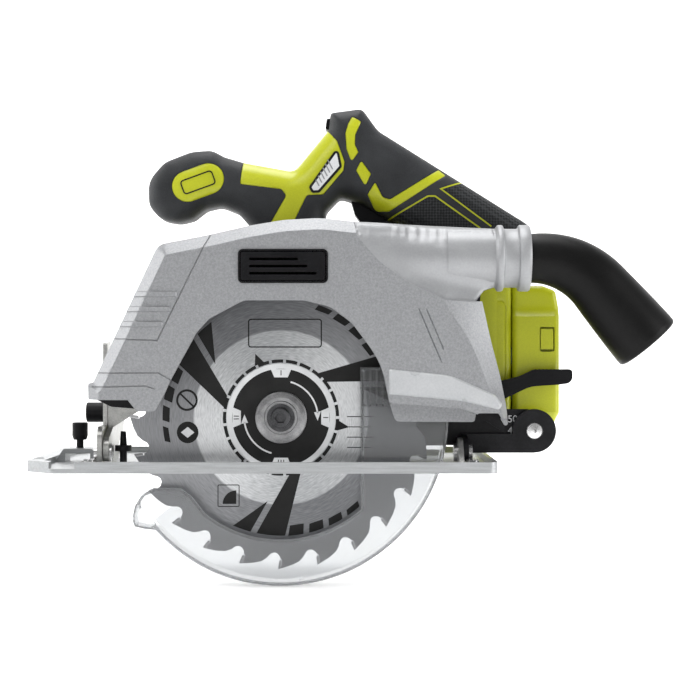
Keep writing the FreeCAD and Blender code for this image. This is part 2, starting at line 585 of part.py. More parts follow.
def guard_backplate():
    """Flat plate behind the blade that carries the gear case and both hinges of the head."""
    inner = moved_rim(RIM, 0.0)
    low = [(122.5, 26.3), (98, 24, 4), (60, 16, 10), (30, 1.2, 10), (-12, 1.2, 10), (-42, 24, 12), (-66, 32.5, 4), (-84, 34, 4)]
    points = [(p[0], p[1]) for p in inner[:9]] + [(122.5, 130.9)] + [(p[0], p[1]) for p in inner[10:]]
    made = Piece("guard_backplate")
    made.pad("XZ", "blade_y + plate_in", "plate_out - plate_in", points + low)
    made.cut("XZ", "blade_y + plate_in - 1", "4", circle(d.arbor_x, d.arbor_z, d.hub_radius + 5.5))
    made.cut("XZ", "blade_y + plate_in - 1", "4", circle(d.depth_x, d.depth_z, d.pin_radius + 0.05))
    made.cut("XZ", "blade_y + plate_in - 1", "4", circle(d.clamp_x, d.clamp_z, 2.55))
    first, last = LEVER_ANGLE - 3.5, LEVER_ANGLE + LEVER_SWING + 3.5
    slot = (arc_points(d.arbor_x, d.arbor_z, LEVER_REACH + 3.3, first, last, 25)
            + arc_points(d.arbor_x, d.arbor_z, LEVER_REACH - 3.3, last, first, 25))
    made.cut("XZ", "blade_y + plate_in - 1", "4", slot)
    for x, z in CASE_SCREWS:
        made.cut("XZ", "blade_y + plate_in - 1", "4", circle(x, z, 1.6))
        made.cut("XZ", "blade_y + plate_in - 1", "2", circle(x, z, 3.15))


LEVER_ANGLE, LEVER_SWING, LEVER_REACH = 50.0, 115.0, 72.0
CASE_SCREWS = [polar(d.arbor_x, d.arbor_z, 29.5, 176), polar(d.arbor_x, d.arbor_z, 29.5, -10),
               polar(MOTOR_X, MOTOR_Z, 28.0, 100), polar(MOTOR_X, MOTOR_Z, 28.0, -15)]
LOCK_AT = polar(d.arbor_x, d.arbor_z, 31.9, 145)


def lower_sector(first, last, inner):
    """Outline of a guard wall: an arc outside, and an arc of radius inner inside."""
    x0, z0 = d.arbor_x, d.arbor_z
    return (arc_points(x0, z0, d.lower_radius - 0.05, first, last, 33)
            + arc_points(x0, z0, inner, last, first, 25))


def lower_guard():
    """Clear guard: a far wall with the hub, a rim, and a near wall that shows the blade."""
    x0, z0 = d.arbor_x, d.arbor_z
    made = Piece("lower_guard")
    half, wall = d.lower_half, d.lower_wall
    made.pad("XZ", "blade_y + lower_half - lower_wall", "lower_wall", lower_sector(219, 397, d.hub_ring - 2))
    ring = Part.Circle(Vector(x0, z0, 0), Vector(0, 0, 1), d.hub_ring)
    hole = Part.Circle(Vector(x0, z0, 0), Vector(0, 0, 1), d.hub_radius + 5.05)
    made.pad("XZ", "blade_y + lower_half - lower_wall", "lower_wall", ring, hole)
    made.pad("XZ", "blade_y - lower_half", "2 * lower_half", lower_sector(219, 397, d.lower_radius - 2.2))
    near = (arc_points(x0, z0, d.lower_radius - 0.05, 221, 377, 33) + [(x0 + 43.6, z0 + 26.5), (x0 + 43.6, z0 - 50.0)]
            + arc_points(x0, z0, d.lower_inner, 309, 231, 15)
            + [(-38.5, -13.0), (-43.5, -9.6), (-60, -9.6, 5), (-69.5, -20, 5), (-70.7, -29.5, 3), (-64, -31.8, 3)])
    made.pad("XZ", "blade_y - lower_half", "lower_wall", near)
    made.cut("XZ", "blade_y + lower_half - 3", "4", circle(x0, z0, d.hub_radius + 5.05))


def guard_hub():
    """Steel ring that the lower guard turns on."""
    y0, r = d.blade_y, d.hub_radius
    made = Piece("guard_hub")
    made.turn("Y", ARBOR, [(y0 + 6.3, r + 0.05), (y0 + 9.4, r + 0.05), (y0 + 9.4, r + 8), (y0 + 8.6, r + 8), (y0 + 8.6, r + 5),
                           (y0 + 6.3, r + 5)])


def guard_lever():
    """Lever that draws the lower guard back; its stem passes through the backplate's arc slot."""
    stem = polar(d.arbor_x, d.arbor_z, LEVER_REACH, LEVER_ANGLE)
    made = Piece("guard_lever")
    made.pad("XZ", "blade_y + 8.6", "1.1", circle(*stem, 5.0))
    made.pad("XZ", "blade_y + 9.6", "2.6", circle(*stem, 2.9))
    made.pad("XZ", "blade_y + 12.2", "9", circle(*stem, 5.0))


def guard_spring():
    """Return spring of the lower guard, a flat spiral about the gear case's nose."""
    made = Piece("guard_spring")
    turns, pitch, inner, thick = 2.5, 1.5, d.hub_radius + 0.25, 0.7
    steps = 61
    angles = [360 * turns * i / (steps - 1) for i in range(steps)]
    inside = [polar(d.arbor_x, d.arbor_z, inner + pitch * a / 360, a) for a in angles]
    outside = [polar(d.arbor_x, d.arbor_z, inner + thick + pitch * a / 360, a) for a in reversed(angles)]
    made.pad("XZ", "blade_y + 9.7", "2.0", inside + outside)


# ---------------------------------------------------------------- blade and drive
def tooth_gap():
    """Outline of one gullet, from (degrees round the arbor, radius) points."""
    r = d.blade_radius
    polar_points = [(1.0, r + 2), (1.05, r), (1.55, r - 5.2), (0.9, r - 5.4), (0.6, r - 7.0), (-0.6, r - 8.6), (-2.0, r - 8.9),
                    (-3.4, r - 8.0), (-4.6, r - 5.9), (-6.6, r - 3.6), (-9.6, r - 2.0), (-13.9, r - 0.3), (-13.9, r + 2)]
    phase = -91.1
    return [polar(d.arbor_x, d.arbor_z, radius, phase + angle) for angle, radius in polar_points]


def blade():
    made = Piece("blade")
    made.pad("XZ", "blade_y - blade_thick / 2", "blade_thick", circle(d.arbor_x, d.arbor_z, d.blade_radius),
             circle(d.arbor_x, d.arbor_z, d.bore_radius))
    axis = made.sketch("XZ", ("arbor_x", "arbor_z", "0"), [])
    gap = made.cut("XZ", "blade_y - blade_thick", "2 * blade_thick", tooth_gap())
    made.around(gap, axis, "N_Axis", int(d.tooth_count))


def blade_tips():
    """Carbide tips brazed to the front of each tooth."""
    r = d.blade_radius
    made = Piece("blade_tips")
    tip = [polar(d.arbor_x, d.arbor_z, radius, -91.1 + angle)
           for angle, radius in ((0.0, r), (0.98, r - 0.15), (1.4, r - 4.9), (0.35, r - 4.7))]
    first = made.pad("XZ", "blade_y - kerf_wide / 2", "kerf_wide", tip)
    axis = made.sketch("XZ", ("arbor_x", "arbor_z", "0"), [])
    made.around(first, axis, "N_Axis", int(d.tooth_count))


def blade_mount():
    y0 = d.blade_y
    outer = Piece("outer_flange")
    outer.turn("Y", ARBOR, [(y0 - 4.2, 3.2), (y0 - 0.65, 3.2), (y0 - 0.65, 14), (y0 - 2.4, 14, 0.5), (y0 - 3.0, 11),
                            (y0 - 3.0, 9.2), (y0 - 4.2, 8.8)])
    inner = Piece("inner_flange")
    inner.turn("Y", ARBOR, [(y0 - 0.55, 6.05), (y0 + 5.0, 6.05), (y0 + 5.0, 12), (y0 + 4.0, 15.5), (y0 + 0.65, 15.5),
                            (y0 + 0.65, 7.95), (y0 - 0.55, 7.95)])
    bolt = Piece("blade_screw")
    bolt.turn("Y", ARBOR, [(y0 - 8.6, 0), (y0 + 16, 0), (y0 + 16, 2.5), (y0 - 4.25, 2.5), (y0 - 4.25, 7.6), (y0 - 5.2, 7.6),
                           (y0 - 5.2, 5.4), (y0 - 8.6, 5.4, 0.6)])
    bolt.cut("XZ", "blade_y - 9", "3.6", [polar(d.arbor_x, d.arbor_z, 3.2, a) for a in range(0, 360, 60)])
    spindle = Piece("spindle")
    spindle.turn("Y", ARBOR, [(y0 - 0.5, 2.55), (y0 + 16.2, 2.55), (y0 + 16.2, 0), (y0 + 38, 0), (y0 + 38, 5), (y0 + 32, 5),
                              (y0 + 32, 6), (y0 - 0.5, 6)])


def gear_outline(x0, z0, teeth, module, phase, backlash=0.12):
    """Involute gear outline with a little backlash, as points round the centre."""
    pitch = teeth * module / 2
    base = pitch * math.cos(math.radians(20))
    tip, root = pitch + 0.95 * module, pitch - 1.2 * module
    involute = math.tan(math.radians(20)) - math.radians(20)
    half_tooth = math.pi / (2 * teeth) - backlash / (2 * pitch)

    def flank(radius):
        pressure = math.acos(min(1.0, base / radius))
        return half_tooth + involute - (math.tan(pressure) - pressure)

    low = max(base, root)
    radii = [low + (tip - low) * share for share in (0, 0.2, 0.45, 0.72, 1.0)]
    points = []
    for i in range(teeth):
        middle = math.radians(phase) + 2 * math.pi * i / teeth
        root_half = flank(low) + 0.15 * module / pitch
        side = [(root, -root_half)] + [(radius, -flank(radius)) for radius in radii]
        side += [(radius, flank(radius)) for radius in reversed(radii)] + [(root, root_half)]
        points += [polar(x0, z0, radius, math.degrees(middle + angle)) for radius, angle in side]
    return points


def gears():
    big = Piece("spindle_gear")
    phase = d.motor_angle
    big.pad("XZ", "blade_y + 22", "gear_wide", gear_outline(d.arbor_x, d.arbor_z, int(d.gear_teeth), d.gear_module, phase),
            circle(d.arbor_x, d.arbor_z, d.spindle_radius + 0.03))
    shaft = Piece("rotor_shaft")
    half_tooth = 180.0 / d.pinion_teeth
    y0 = d.blade_y
    shaft.turn("Y", MOTOR, [(y0 + 20, 0), (y0 + 100, 0), (y0 + 100, 2.5), (y0 + 20, 2.5)])
    shaft.pad("XZ", "blade_y + 21", "gear_wide + 2",
              gear_outline(MOTOR_X, MOTOR_Z, int(d.pinion_teeth), d.gear_module, d.motor_angle + 180 + half_tooth))


def bearings():
    """Ball bearings of the spindle and the motor shaft, as rings that fill their seats."""
    seats = [(ARBOR, 6.05, 14.0, 12, 6.5), (ARBOR, 5.05, 11.0, 34, 3.9), (MOTOR, 2.55, 8.0, 34, 3.9), (MOTOR, 2.55, 8.4, 96, 4)]
    made = []
    for i, (at, inner, outer, start, wide) in enumerate(seats):
        y0 = d.blade_y + start
        ring = Piece(f"bearing{i}", apart=False)
        ring.turn("Y", at, [(y0, inner), (y0 + wide, inner), (y0 + wide, outer, 0.4), (y0, outer, 0.4)])
        made.append(ring.body)
    together("bearings", made)


def gear_case():
    """Cast case between the backplate and the motor, with the nose that the guard turns on."""
    x0, z0 = d.arbor_x, d.arbor_z
    made = Piece("gear_case")
    made.pad("XZ", "blade_y + 12.05", "21.9", circle(x0, z0, CASE_RADIUS))
    made.pad("XZ", "blade_y + 12.05", "21.9", circle(MOTOR_X, MOTOR_Z, 26))
    for x, z in CASE_SCREWS:
        made.pad("XZ", "blade_y + 12.05", "16", circle(x, z, 4.8))
    made.pad("XZ", "blade_y + 12.05", "10.9", circle(*LOCK_AT, 5.6))
    made.pad("XZ", "blade_y + 5.6", "6.6", circle(x0, z0, d.hub_radius))
    made.cut("XZ", "blade_y + 18.6", "30", circle(x0, z0, CASE_RADIUS - 2.2))
    made.cut("XZ", "blade_y + 18.6", "30", circle(MOTOR_X, MOTOR_Z, 9.0))
    made.cut("XZ", "blade_y + 11", "8", circle(x0, z0, 14.05))
    made.cut("XZ", "blade_y", "30", circle(x0, z0, 12.4))
    made.cut("XZ", "blade_y + 15.4", "10", circle(*LOCK_AT, 3.75))
    for x, z in CASE_SCREWS:
        made.cut("XZ", "blade_y + 10", "15", circle(x, z, 1.55))
    cover = Piece("gear_case_cover")
    cover.pad("XZ", "blade_y + 34", "4.8", circle(x0, z0, CASE_RADIUS))
    cover.pad("XZ", "blade_y + 34", "4.8", circle(MOTOR_X, MOTOR_Z, 26))
    cover.cut("XZ", "blade_y + 33", "5", circle(x0, z0, 11.05))
    cover.cut("XZ", "blade_y + 33", "5", circle(MOTOR_X, MOTOR_Z, 8.05))
    cover.cut("XZ", "blade_y + 33", "8", circle(MOTOR_X, MOTOR_Z, 3.2))
    cover.cut("XZ", "blade_y + 33", "5.4", circle(x0, z0, 6.4))


CASE_RADIUS = 27.3


def guard_retainer():
    y0, r = d.blade_y, d.hub_radius
    made = Piece("guard_retainer")
    made.turn("Y", ARBOR, [(y0 + 4.7, 16.4), (y0 + 5.5, 16.4), (y0 + 5.5, r), (y0 + 6.1, r), (y0 + 6.1, r + 2.5), (y0 + 4.7, r + 2.5)])


def motor():
    y0, r = d.blade_y, d.motor_radius
    can = Piece("motor_can")
    can.turn("Y", MOTOR, [(y0 + 39, r - 1.6), (y0 + 94, r - 1.6), (y0 + 94, r), (y0 + 39, r)])
    magnets = Piece("motor_magnets")
    for middle in (0, 180):
        ring = (arc_points(MOTOR_X, MOTOR_Z, r - 1.65, middle - 62, middle + 62, 15)
                + arc_points(MOTOR_X, MOTOR_Z, 16.4, middle + 62, middle - 62, 15))
        magnets.pad("XZ", "blade_y + 46", "30", ring)
    core = Piece("rotor_core")
    lobe = []
    for i in range(9):
        lobe += [polar(MOTOR_X, MOTOR_Z, radius, 40 * i + angle)
                 for angle, radius in ((-17, 15.6), (0, 15.6), (17, 15.6), (18.2, 14.2), (19, 9), (21, 9), (21.8, 14.2))]
    core.pad("XZ", "blade_y + 46", "30", lobe, circle(MOTOR_X, MOTOR_Z, 2.53))
    commutator = Piece("commutator")
    commutator.turn("Y", MOTOR, [(y0 + 79, 2.53), (y0 + 91, 2.53), (y0 + 91, 8), (y0 + 81, 8), (y0 + 81, 9.5), (y0 + 79, 9.5)])
    fan = Piece("cooling_fan")
    fan.turn("Y", MOTOR, [(y0 + 39.6, 2.53), (y0 + 44.6, 2.53), (y0 + 44.6, 6), (y0 + 41, 7), (y0 + 41, 19.6), (y0 + 39.6, 19.6)])
    blade_loop = [(MOTOR_X + 8, MOTOR_Z - 0.6), (MOTOR_X + 19.4, MOTOR_Z + 1.4), (MOTOR_X + 19.4, MOTOR_Z + 2.6), (MOTOR_X + 8, MOTOR_Z + 0.6)]
    vane = fan.pad("XZ", "blade_y + 40.8", "3.8", blade_loop)
    axis = fan.sketch("XZ", (f"{MOTOR_X:.6f}", f"{MOTOR_Z:.6f}", "0"), [])
    fan.around(vane, axis, "N_Axis", 11)
    brushes = Piece("brush_holders")
    for side in (-1, 1):
        near, far = MOTOR_X + side * 8.4, MOTOR_X + side * 20.0
        brushes.pad("XZ", "blade_y + 82", "8", box_loop(min(near, far), max(near, far), MOTOR_Z - 3.5, MOTOR_Z + 3.5))


# ---------------------------------------------------------------- handle and housing
HANDLE = [(-67.5, 140.5, 12), (-67.5, 163.0, 15), (-39.0, 181.5, 16), (-15.0, 171.8, 8), (16.0, 166.2, 6), (35.6, 190.0, 4),
          (36.6, 199.6, 2), (54.5, 202.0, 4), (63.5, 189.5, 12), (151.5, 134.5, 8), (146.0, 112.0, 6), (138.5, 104.2, 2),
          (138.5, 14.6, 2), (84.0, 14.6, 6), (62.0, 22.0, 8), (32.3, 19.8, 24), (0.6, 52.0, 20), (-1.5, 118.0, 10),
          (-11.0, 139.0, 12), (-32.0, 149.0, 14), (-48.0, 136.5, 10)]
OPENING = [(34.0, 97.0, 5), (34.0, 143.0, 5), (42.0, 151.5, 4), (54.0, 147.8, 4), (113.0, 112.0, 5), (107.0, 106.6, 2),
           (74.0, 106.6, 4), (69.0, 97.0, 5)]
# the trigger slides this way, square to the grip's lower edge
GRIP_UP = (0.53, 0.848)


def inset_loop(points, distance):
    """The closed outline moved inward by distance, with its corner radii reduced."""
    flat = [Vector(p[0], p[1], 0) for p in points]
    turning = sum((flat[i] - flat[i - 1]).cross(flat[(i + 1) % len(flat)] - flat[i]).z for i in range(len(flat)))
    sign = 1 if turning > 0 else -1
    made = []
    for i, point in enumerate(flat):
        before = (point - flat[i - 1]).normalize()
        after = (flat[(i + 1) % len(flat)] - point).normalize()
        sides = [Vector(-v.y, v.x, 0) * sign for v in (before, after)]
        mitre = (sides[0] + sides[1]).normalize()
        convex = before.cross(after).z * sign > 0
        radius = points[i][2] + (-distance if convex else distance)
        spot = point + mitre * (distance / mitre.dot(sides[0]))
        made.append((spot.x, spot.y, max(0.4, radius)))
    return made


def hollow_half(label, y_start, y_end, space_start, space_end):
    """Half of the handle housing: a prism of the handle's outline, hollowed to an even wall."""
    made = Piece(label)
    made.pad("XZ", f"blade_y + {y_start}", f"{y_end} - {y_start}", HANDLE)
    made.cut("XZ", f"blade_y + {space_start}", f"{space_end} - {space_start}", inset_loop(HANDLE, d.shell_wall))
    return made


PACK_DOOR = (19.0, 98.0)
GRIP_SCREWS = [(-46, 158), (-3, 152), (14, 112), (46, 178), (92, 158), (130, 133)]
BODY_SCREWS = [(81.5, 99.2), (81.5, 19.8)]


def housing_shells():
    """Both halves of the handle, which also hold the motor and the battery's socket."""
    wall = d.shell_wall
    near = hollow_half("housing_left", "handle_in", "split_in", f"handle_in + {wall}", "split_in")
    far = hollow_half("housing_right", "split_in", "handle_out", "split_in", f"handle_out - {wall}")
    socket = [(76.0, 14.6, 4), (138.5, 14.6, 2), (138.5, 104.2, 2), (76.0, 104.2, 6)]
    near.pad("XZ", "blade_y + housing_in", "split_in - housing_in", socket)
    near.cut("XZ", f"blade_y + housing_in + {wall}", "split_in", inset_loop(socket, wall))
    far.pad("XZ", "blade_y + split_in", "housing_out - split_in", socket)
    far.cut("XZ", "blade_y + split_in - 1", f"housing_out - split_in - {wall} + 1", inset_loop(socket, wall))
    mouth = [(110, PACK_DOOR[0]), (145, PACK_DOOR[0]), (145, PACK_DOOR[1]), (110, PACK_DOOR[1])]
    near.cut("XZ", f"blade_y + housing_in + {wall}", "60", mouth)
    far.cut("XZ", "blade_y + split_in - 1", f"housing_out - split_in - {wall} + 1", mouth)
    for half in (near, far):
        half.cut("XZ", "blade_y + 20", "handle_out - 19", OPENING)
        half.cut("XZ", "blade_y + 20", "100", circle(MOTOR_X, MOTOR_Z, 29.2))
        half.cut("XZ", "blade_y + 20", "19", circle(d.arbor_x, d.arbor_z, CASE_RADIUS + 0.6))
        half.cut("XZ", "blade_y + 38.4", "13.2", TRIGGER_GAP)
        half.cut("XZ", "blade_y + 38.4", "13.2", box_loop(30, 41, 189.8, 197.2))
    bosses(near, far)


def bosses(near, far):
    """Screw posts of both halves. Each has a hole for its screw."""
    for places, far_wall in ((GRIP_SCREWS, "handle_out"), (BODY_SCREWS, "housing_out")):
        for x, z in places:
            near.pad("XZ", "blade_y + handle_in + 1", "split_in - handle_in - 1", circle(x, z, 3.6))
            far.pad("XZ", "blade_y + split_in", f"{far_wall} - split_in - 1", circle(x, z, 3.6))
            near.cut("XZ", "blade_y + handle_in + 4", "30", circle(x, z, 1.55))
            far.cut("XZ", "blade_y + split_in - 1", f"{far_wall} - split_in + 2", circle(x, z, 1.55))
            far.cut("XZ", f"blade_y + {far_wall} - 3.2", "6", circle(x, z, 3.1))


TRIGGER_GAP = [(44.0, 140.0), (60.0, 164.0), (86.0, 148.0), (72.0, 124.0)]
TRIGGER = [(48.0, 150.5), (50.5, 142.0, 3), (58.0, 131.5, 4), (66.5, 127.8, 4), (72.6, 133.6, 3), (74.5, 136.6), (80.0, 145.0, 1),
           (57.0, 159.4, 1), (52.0, 156.8, 1)]


def controls():
    trigger = Piece("trigger")
    trigger.pad("XZ", "blade_y + 38.8", "12.4", TRIGGER)
    # the switch leaves the trigger its travel
    up = Vector(GRIP_UP[0], GRIP_UP[1], 0)
    along = Vector(GRIP_UP[1], -GRIP_UP[0], 0)
    middle = Vector(68.5, 152.2, 0) + up * 6.3
    corners = [middle - along * 12, middle + along * 12, middle + along * 12 + up * 17, middle - along * 12 + up * 17]
    switch = Piece("switch_module")
    switch.pad("XZ", "blade_y + 37", "16", [(p.x, p.y, 1) for p in corners])
    button = Piece("lock_off_button")
    button.pad("XZ", "blade_y + 38.8", "12.4", [(33.6, 190.4, 1), (43.5, 190.4), (43.5, 196.6), (34.4, 196.6, 1)])


GRIP_FRONT = [(-66.0, 142.5, 11), (-66.0, 162.0, 14), (-39.0, 179.6, 15), (-14.5, 170.0, 7), (-11.5, 143.5, 4), (-31.0, 151.0, 14),
              (-48.2, 138.4, 10)]
GRIP_BACK = [(38.5, 169.0, 4), (38.0, 198.0, 2), (54.0, 200.4, 3), (63.0, 187.5, 12), (149.5, 133.6, 7), (145.0, 114.0, 6),
             (118.0, 114.0, 6), (55.0, 150.0, 6)]


def grips():
    """Soft pads on both sides of the front grip and the main grip."""
    for label, start in (("grip_left", "handle_in - pad_thick"), ("grip_right", "handle_out")):
        made = Piece(label)
        made.pad("XZ", f"blade_y + {start}", "pad_thick - 0.02", GRIP_FRONT)
        made.pad("XZ", f"blade_y + {start}", "pad_thick - 0.02", GRIP_BACK)
        if label == "grip_right":
            for x, z in GRIP_SCREWS:
                made.cut("XZ", "blade_y + handle_out - 1", "5", circle(x, z, 3.1))
        else:
            made.cut("XZ", "blade_y + handle_in - pad_thick - 1", "5", [(16, 150), (44, 150), (44, 181), (16, 181)])
    inset = Piece("side_vent")
    inset.pad("XZ", "blade_y + handle_in - 1.6", "1.58",
              [(24.6, 160.6, 2), (32.0, 153.2, 2), (41.4, 165.2, 2), (40.0, 173.6, 2), (34.6, 174.6, 2)])


def motor_housing():
    """Drum round the motor, and the vented cap at its end."""
    y0 = d.blade_y
    drum = Piece("motor_housing")
    drum.turn("Y", MOTOR, [(y0 + 38.85, 22.3), (y0 + 44, 22.3), (y0 + 44, 26.4), (y0 + 88, 26.4), (y0 + 88, 22.3), (y0 + 93, 22.3),
                           (y0 + 93, 26.4), (y0 + 101, 26.4), (y0 + 101, 29.0), (y0 + 38.85, 29.0)])
    cap = Piece("motor_end_cap")
    cap.turn("Y", MOTOR, [(y0 + 101.1, 23.0), (y0 + 101.1, 29.4, 0.5), (y0 + 113, 29.4, 6), (y0 + 113, 0), (y0 + 110.6, 0), (y0 + 110.6, 8.5),
                          (y0 + 95.6, 8.5), (y0 + 95.6, 11), (y0 + 110.6, 11), (y0 + 110.6, 26.6, 4), (y0 + 104, 26.6), (y0 + 104, 23.0)])
    slit = (arc_points(MOTOR_X, MOTOR_Z, 24, -11, 11, 5) + arc_points(MOTOR_X, MOTOR_Z, 14, 11, -11, 5))
    vent = cap.cut("XZ", "blade_y + 110", "5", slit)
    axis = cap.sketch("XZ", (f"{MOTOR_X:.6f}", f"{MOTOR_Z:.6f}", "0"), [])
    cap.around(vent, axis, "N_Axis", 10)


# ---------------------------------------------------------------- battery
def battery():
    low, high = d.pack_low, d.pack_high
    wall = 1.8
    middle = (low + high) / 2
    outline = [(d.pack_split + 0.3, low + 1.0, 2), (152.0, low, 3), (159.5, low + 3, 3), (d.pack_back, low + 15, 4),
               (d.pack_back, high - 12, 3), (163.5, high - 2, 3), (156.0, high, 2), (d.pack_split + 0.3, high, 2)]
    neck = [(d.pack_front, PACK_DOOR[0] + 0.8, 1), (d.pack_split + 1, PACK_DOOR[0] + 0.8), (d.pack_split + 1, PACK_DOOR[1] - 0.8),
            (d.pack_front, PACK_DOOR[1] - 0.8, 1)]
    case = Piece("battery_case")
    case.pad("XZ", "blade_y + housing_in", "housing_out - housing_in", outline)
    case.pad("XZ", "blade_y + housing_in + 3.4", "housing_out - housing_in - 6.8", neck)
    space = [(d.pack_front + wall, PACK_DOOR[0] + 2.6), (d.pack_split + 2.2, PACK_DOOR[0] + 2.6), (155, low + 5, 3), (d.pack_back - wall, low + 17, 3),
             (d.pack_back - wall, high - 13, 3), (155, high - 4, 3), (d.pack_split + 2.2, PACK_DOOR[1] - 2.6), (d.pack_front + wall, PACK_DOOR[1] - 2.6)]
    case.cut("XZ", "blade_y + housing_in + 5.2", "housing_out - housing_in - 10.4", space)
    case.pad("YZ", "94", "pack_front - 93.9", box_loop(d.blade_y + 47, d.blade_y + 83, middle - 20, middle + 20, 5))
    for start in ("housing_in - 1", "housing_out - 3.4"):
        case.cut("XZ", f"blade_y + {start}", "4.4", LATCH)
    contacts = Piece("battery_terminals")
    for z in (middle - 12, middle + 12):
        contacts.pad("XZ", "blade_y + 46.2", "0.75", box_loop(97, 112, z - 3, z + 3))
    cells = [cylinder(f"cell{i}", "cell_radius", "cell_long", (x, "blade_y + 32.5", z))
             for i, (x, z) in enumerate(((153.8, 34), (153.8, 53), (153.8, 72), (131, 42), (131, 62)))]
    together("battery_cells", cells)
    for label, start in (("battery_latch_left", "housing_in - 0.4"), ("battery_latch_right", "housing_out - 1.5")):
        latch = Piece(label)
        latch.pad("XZ", f"blade_y + {start}", "1.9", [(154.6, 65.7), (161.6, 65.7), (161.6, 77.1), (154.6, 77.1)])
    block = Piece("terminal_block")
    block.pad("YZ", "80", "10", box_loop(d.blade_y + 46, d.blade_y + 84, middle - 21, middle + 21, 2))


LATCH = [(154.0, 65.0, 1), (162.2, 65.0, 1), (162.2, 77.8, 1), (154.0, 77.8, 1)]


# ---------------------------------------------------------------- levers, badge and screws
def depth_lever():
    """Cam lever behind the depth link, its bolt through the backplate and the link."""
    y0 = d.blade_y
    bolt = Piece("depth_clamp_bolt")
    bolt.turn("Y", ("clamp_x", "clamp_z"), [(y0 + 9.0, 0), (y0 + 26.4, 0), (y0 + 26.4, 4), (y0 + 24.6, 4), (y0 + 24.6, 2.5),
                                            (y0 + 9.9, 2.5), (y0 + 9.9, 4.5), (y0 + 9.0, 4.5)])
    lever = Piece("depth_lever")
    arm = [(d.clamp_x - 8, d.clamp_z - 4, 6), (d.clamp_x + 4, d.clamp_z - 8, 6), (126, 34.5, 20), (148, 45.0, 20), (164, 46.0, 2),
           (171.4, 47.0, 4), (171.4, 54.6, 2), (150, 54.4, 2), (142, 50.6, 6), (128, 47.2, 20), (d.clamp_x - 4, d.clamp_z + 8, 6)]
    lever.pad("XZ", "blade_y + 19.3", "5", arm)
    lever.cut("XZ", "blade_y + 18", "8", circle(d.clamp_x, d.clamp_z, 2.55))


def spindle_lock():
    """Button in the gear case's boss, which pins the spindle for a blade change."""
    y0 = d.blade_y
    made = Piece("spindle_lock_button")
    made.turn("Y", tuple(f"{place:.4f}" for place in LOCK_AT), [(y0 + 19, 0), (y0 + 30, 0), (y0 + 30, 3.6, 0.8), (y0 + 19, 3.6)])


def badge():
    made = Piece("badge_plate")
    made.pad("XZ", "blade_y + guard_near - 0.9", "0.88", box_loop(-12.1, 35.8, 101.0, 119.1, 2.5))


def build():
    shoe()
    stand_rivets()
    bevel_quadrant()
    rear_ear()
    bevel_stop_screw()
    guide_clamp_screw()
    front_bracket()
    carriage_pins()
    depth_link()
    rear_arm()
    bevel_lock()
    upper_guard()
    dust_elbow()
    guard_backplate()
    lower_guard()
    guard_hub()
    guard_lever()
    guard_spring()
    blade()
    blade_tips()
    blade_mount()
    gears()
    bearings()
    gear_case()
    guard_retainer()
    motor()
    housing_shells()
    controls()
    grips()
    motor_housing()
    battery()
    depth_lever()
    spindle_lock()
    badge()
    screws("case_screws", [(x, z, "blade_y + 11", 14) for x, z in CASE_SCREWS], -1)
    grip = [(x, z, "blade_y + handle_out - 3.2", 22) for x, z in GRIP_SCREWS]
    body = [(x, z, "blade_y + housing_out - 3.2", 64) for x, z in BODY_SCREWS]
    screws("housing_screws", grip + body, 1)


def check_and_write():
    doc.recompute()
    bad = [item.Name for item in doc.Objects if {"Invalid", "Error"} & set(item.State)]
    if bad:
        raise SystemExit(f"failed objects: {bad}")
    os.makedirs("parts", exist_ok=True)
    for item in PARTS:
        shape = item.Shape
        if shape.isNull() or not shape.isValid() or shape.Volume <= 0:
            raise SystemExit(f"{item.Label} has no valid shape")
        print(f"{item.Label:24s} solids {len(shape.Solids):3d} volume {shape.Volume:12.1f}")
        shape.exportStep(os.path.join("parts", item.Label + ".step"))
    print(len(PARTS), "parts")


build()
check_and_write()
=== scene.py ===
import json
import math
import bpy
import numpy as np
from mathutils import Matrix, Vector
from mathutils.geometry import delaunay_2d_cdt


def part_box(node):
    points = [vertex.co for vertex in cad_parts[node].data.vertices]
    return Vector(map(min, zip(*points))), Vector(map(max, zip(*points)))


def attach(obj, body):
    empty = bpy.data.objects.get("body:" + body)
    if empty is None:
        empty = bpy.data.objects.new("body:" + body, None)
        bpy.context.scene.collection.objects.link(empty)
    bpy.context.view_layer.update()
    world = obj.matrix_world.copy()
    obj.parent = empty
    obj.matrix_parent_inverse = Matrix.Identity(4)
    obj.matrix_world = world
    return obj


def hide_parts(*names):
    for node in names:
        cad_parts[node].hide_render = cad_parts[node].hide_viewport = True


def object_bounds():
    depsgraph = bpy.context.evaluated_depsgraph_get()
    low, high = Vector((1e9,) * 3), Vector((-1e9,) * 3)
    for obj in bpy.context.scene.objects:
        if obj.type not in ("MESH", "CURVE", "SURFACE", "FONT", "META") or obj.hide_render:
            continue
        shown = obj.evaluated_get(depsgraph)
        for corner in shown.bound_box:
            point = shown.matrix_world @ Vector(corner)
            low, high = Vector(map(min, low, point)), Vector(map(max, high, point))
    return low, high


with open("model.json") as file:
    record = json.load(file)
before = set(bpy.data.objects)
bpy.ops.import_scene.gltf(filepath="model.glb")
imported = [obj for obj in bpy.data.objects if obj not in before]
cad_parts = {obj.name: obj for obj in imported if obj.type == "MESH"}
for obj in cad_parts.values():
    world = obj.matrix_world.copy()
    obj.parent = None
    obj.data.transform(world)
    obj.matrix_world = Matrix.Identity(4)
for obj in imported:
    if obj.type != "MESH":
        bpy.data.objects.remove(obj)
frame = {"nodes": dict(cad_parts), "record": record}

# Looks of the battery circular saw. Outlines are (x, z) in millimetres in the row frame,
# seen from the blade's side, and a third number is a corner's radius.
CAD_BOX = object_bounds()
MM = 0.001
NODES = frame["nodes"]


def centre(node):
    """Middle of a CAD node's box, in millimetres."""
    low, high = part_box(node)
    return (low + high) / 2 / MM


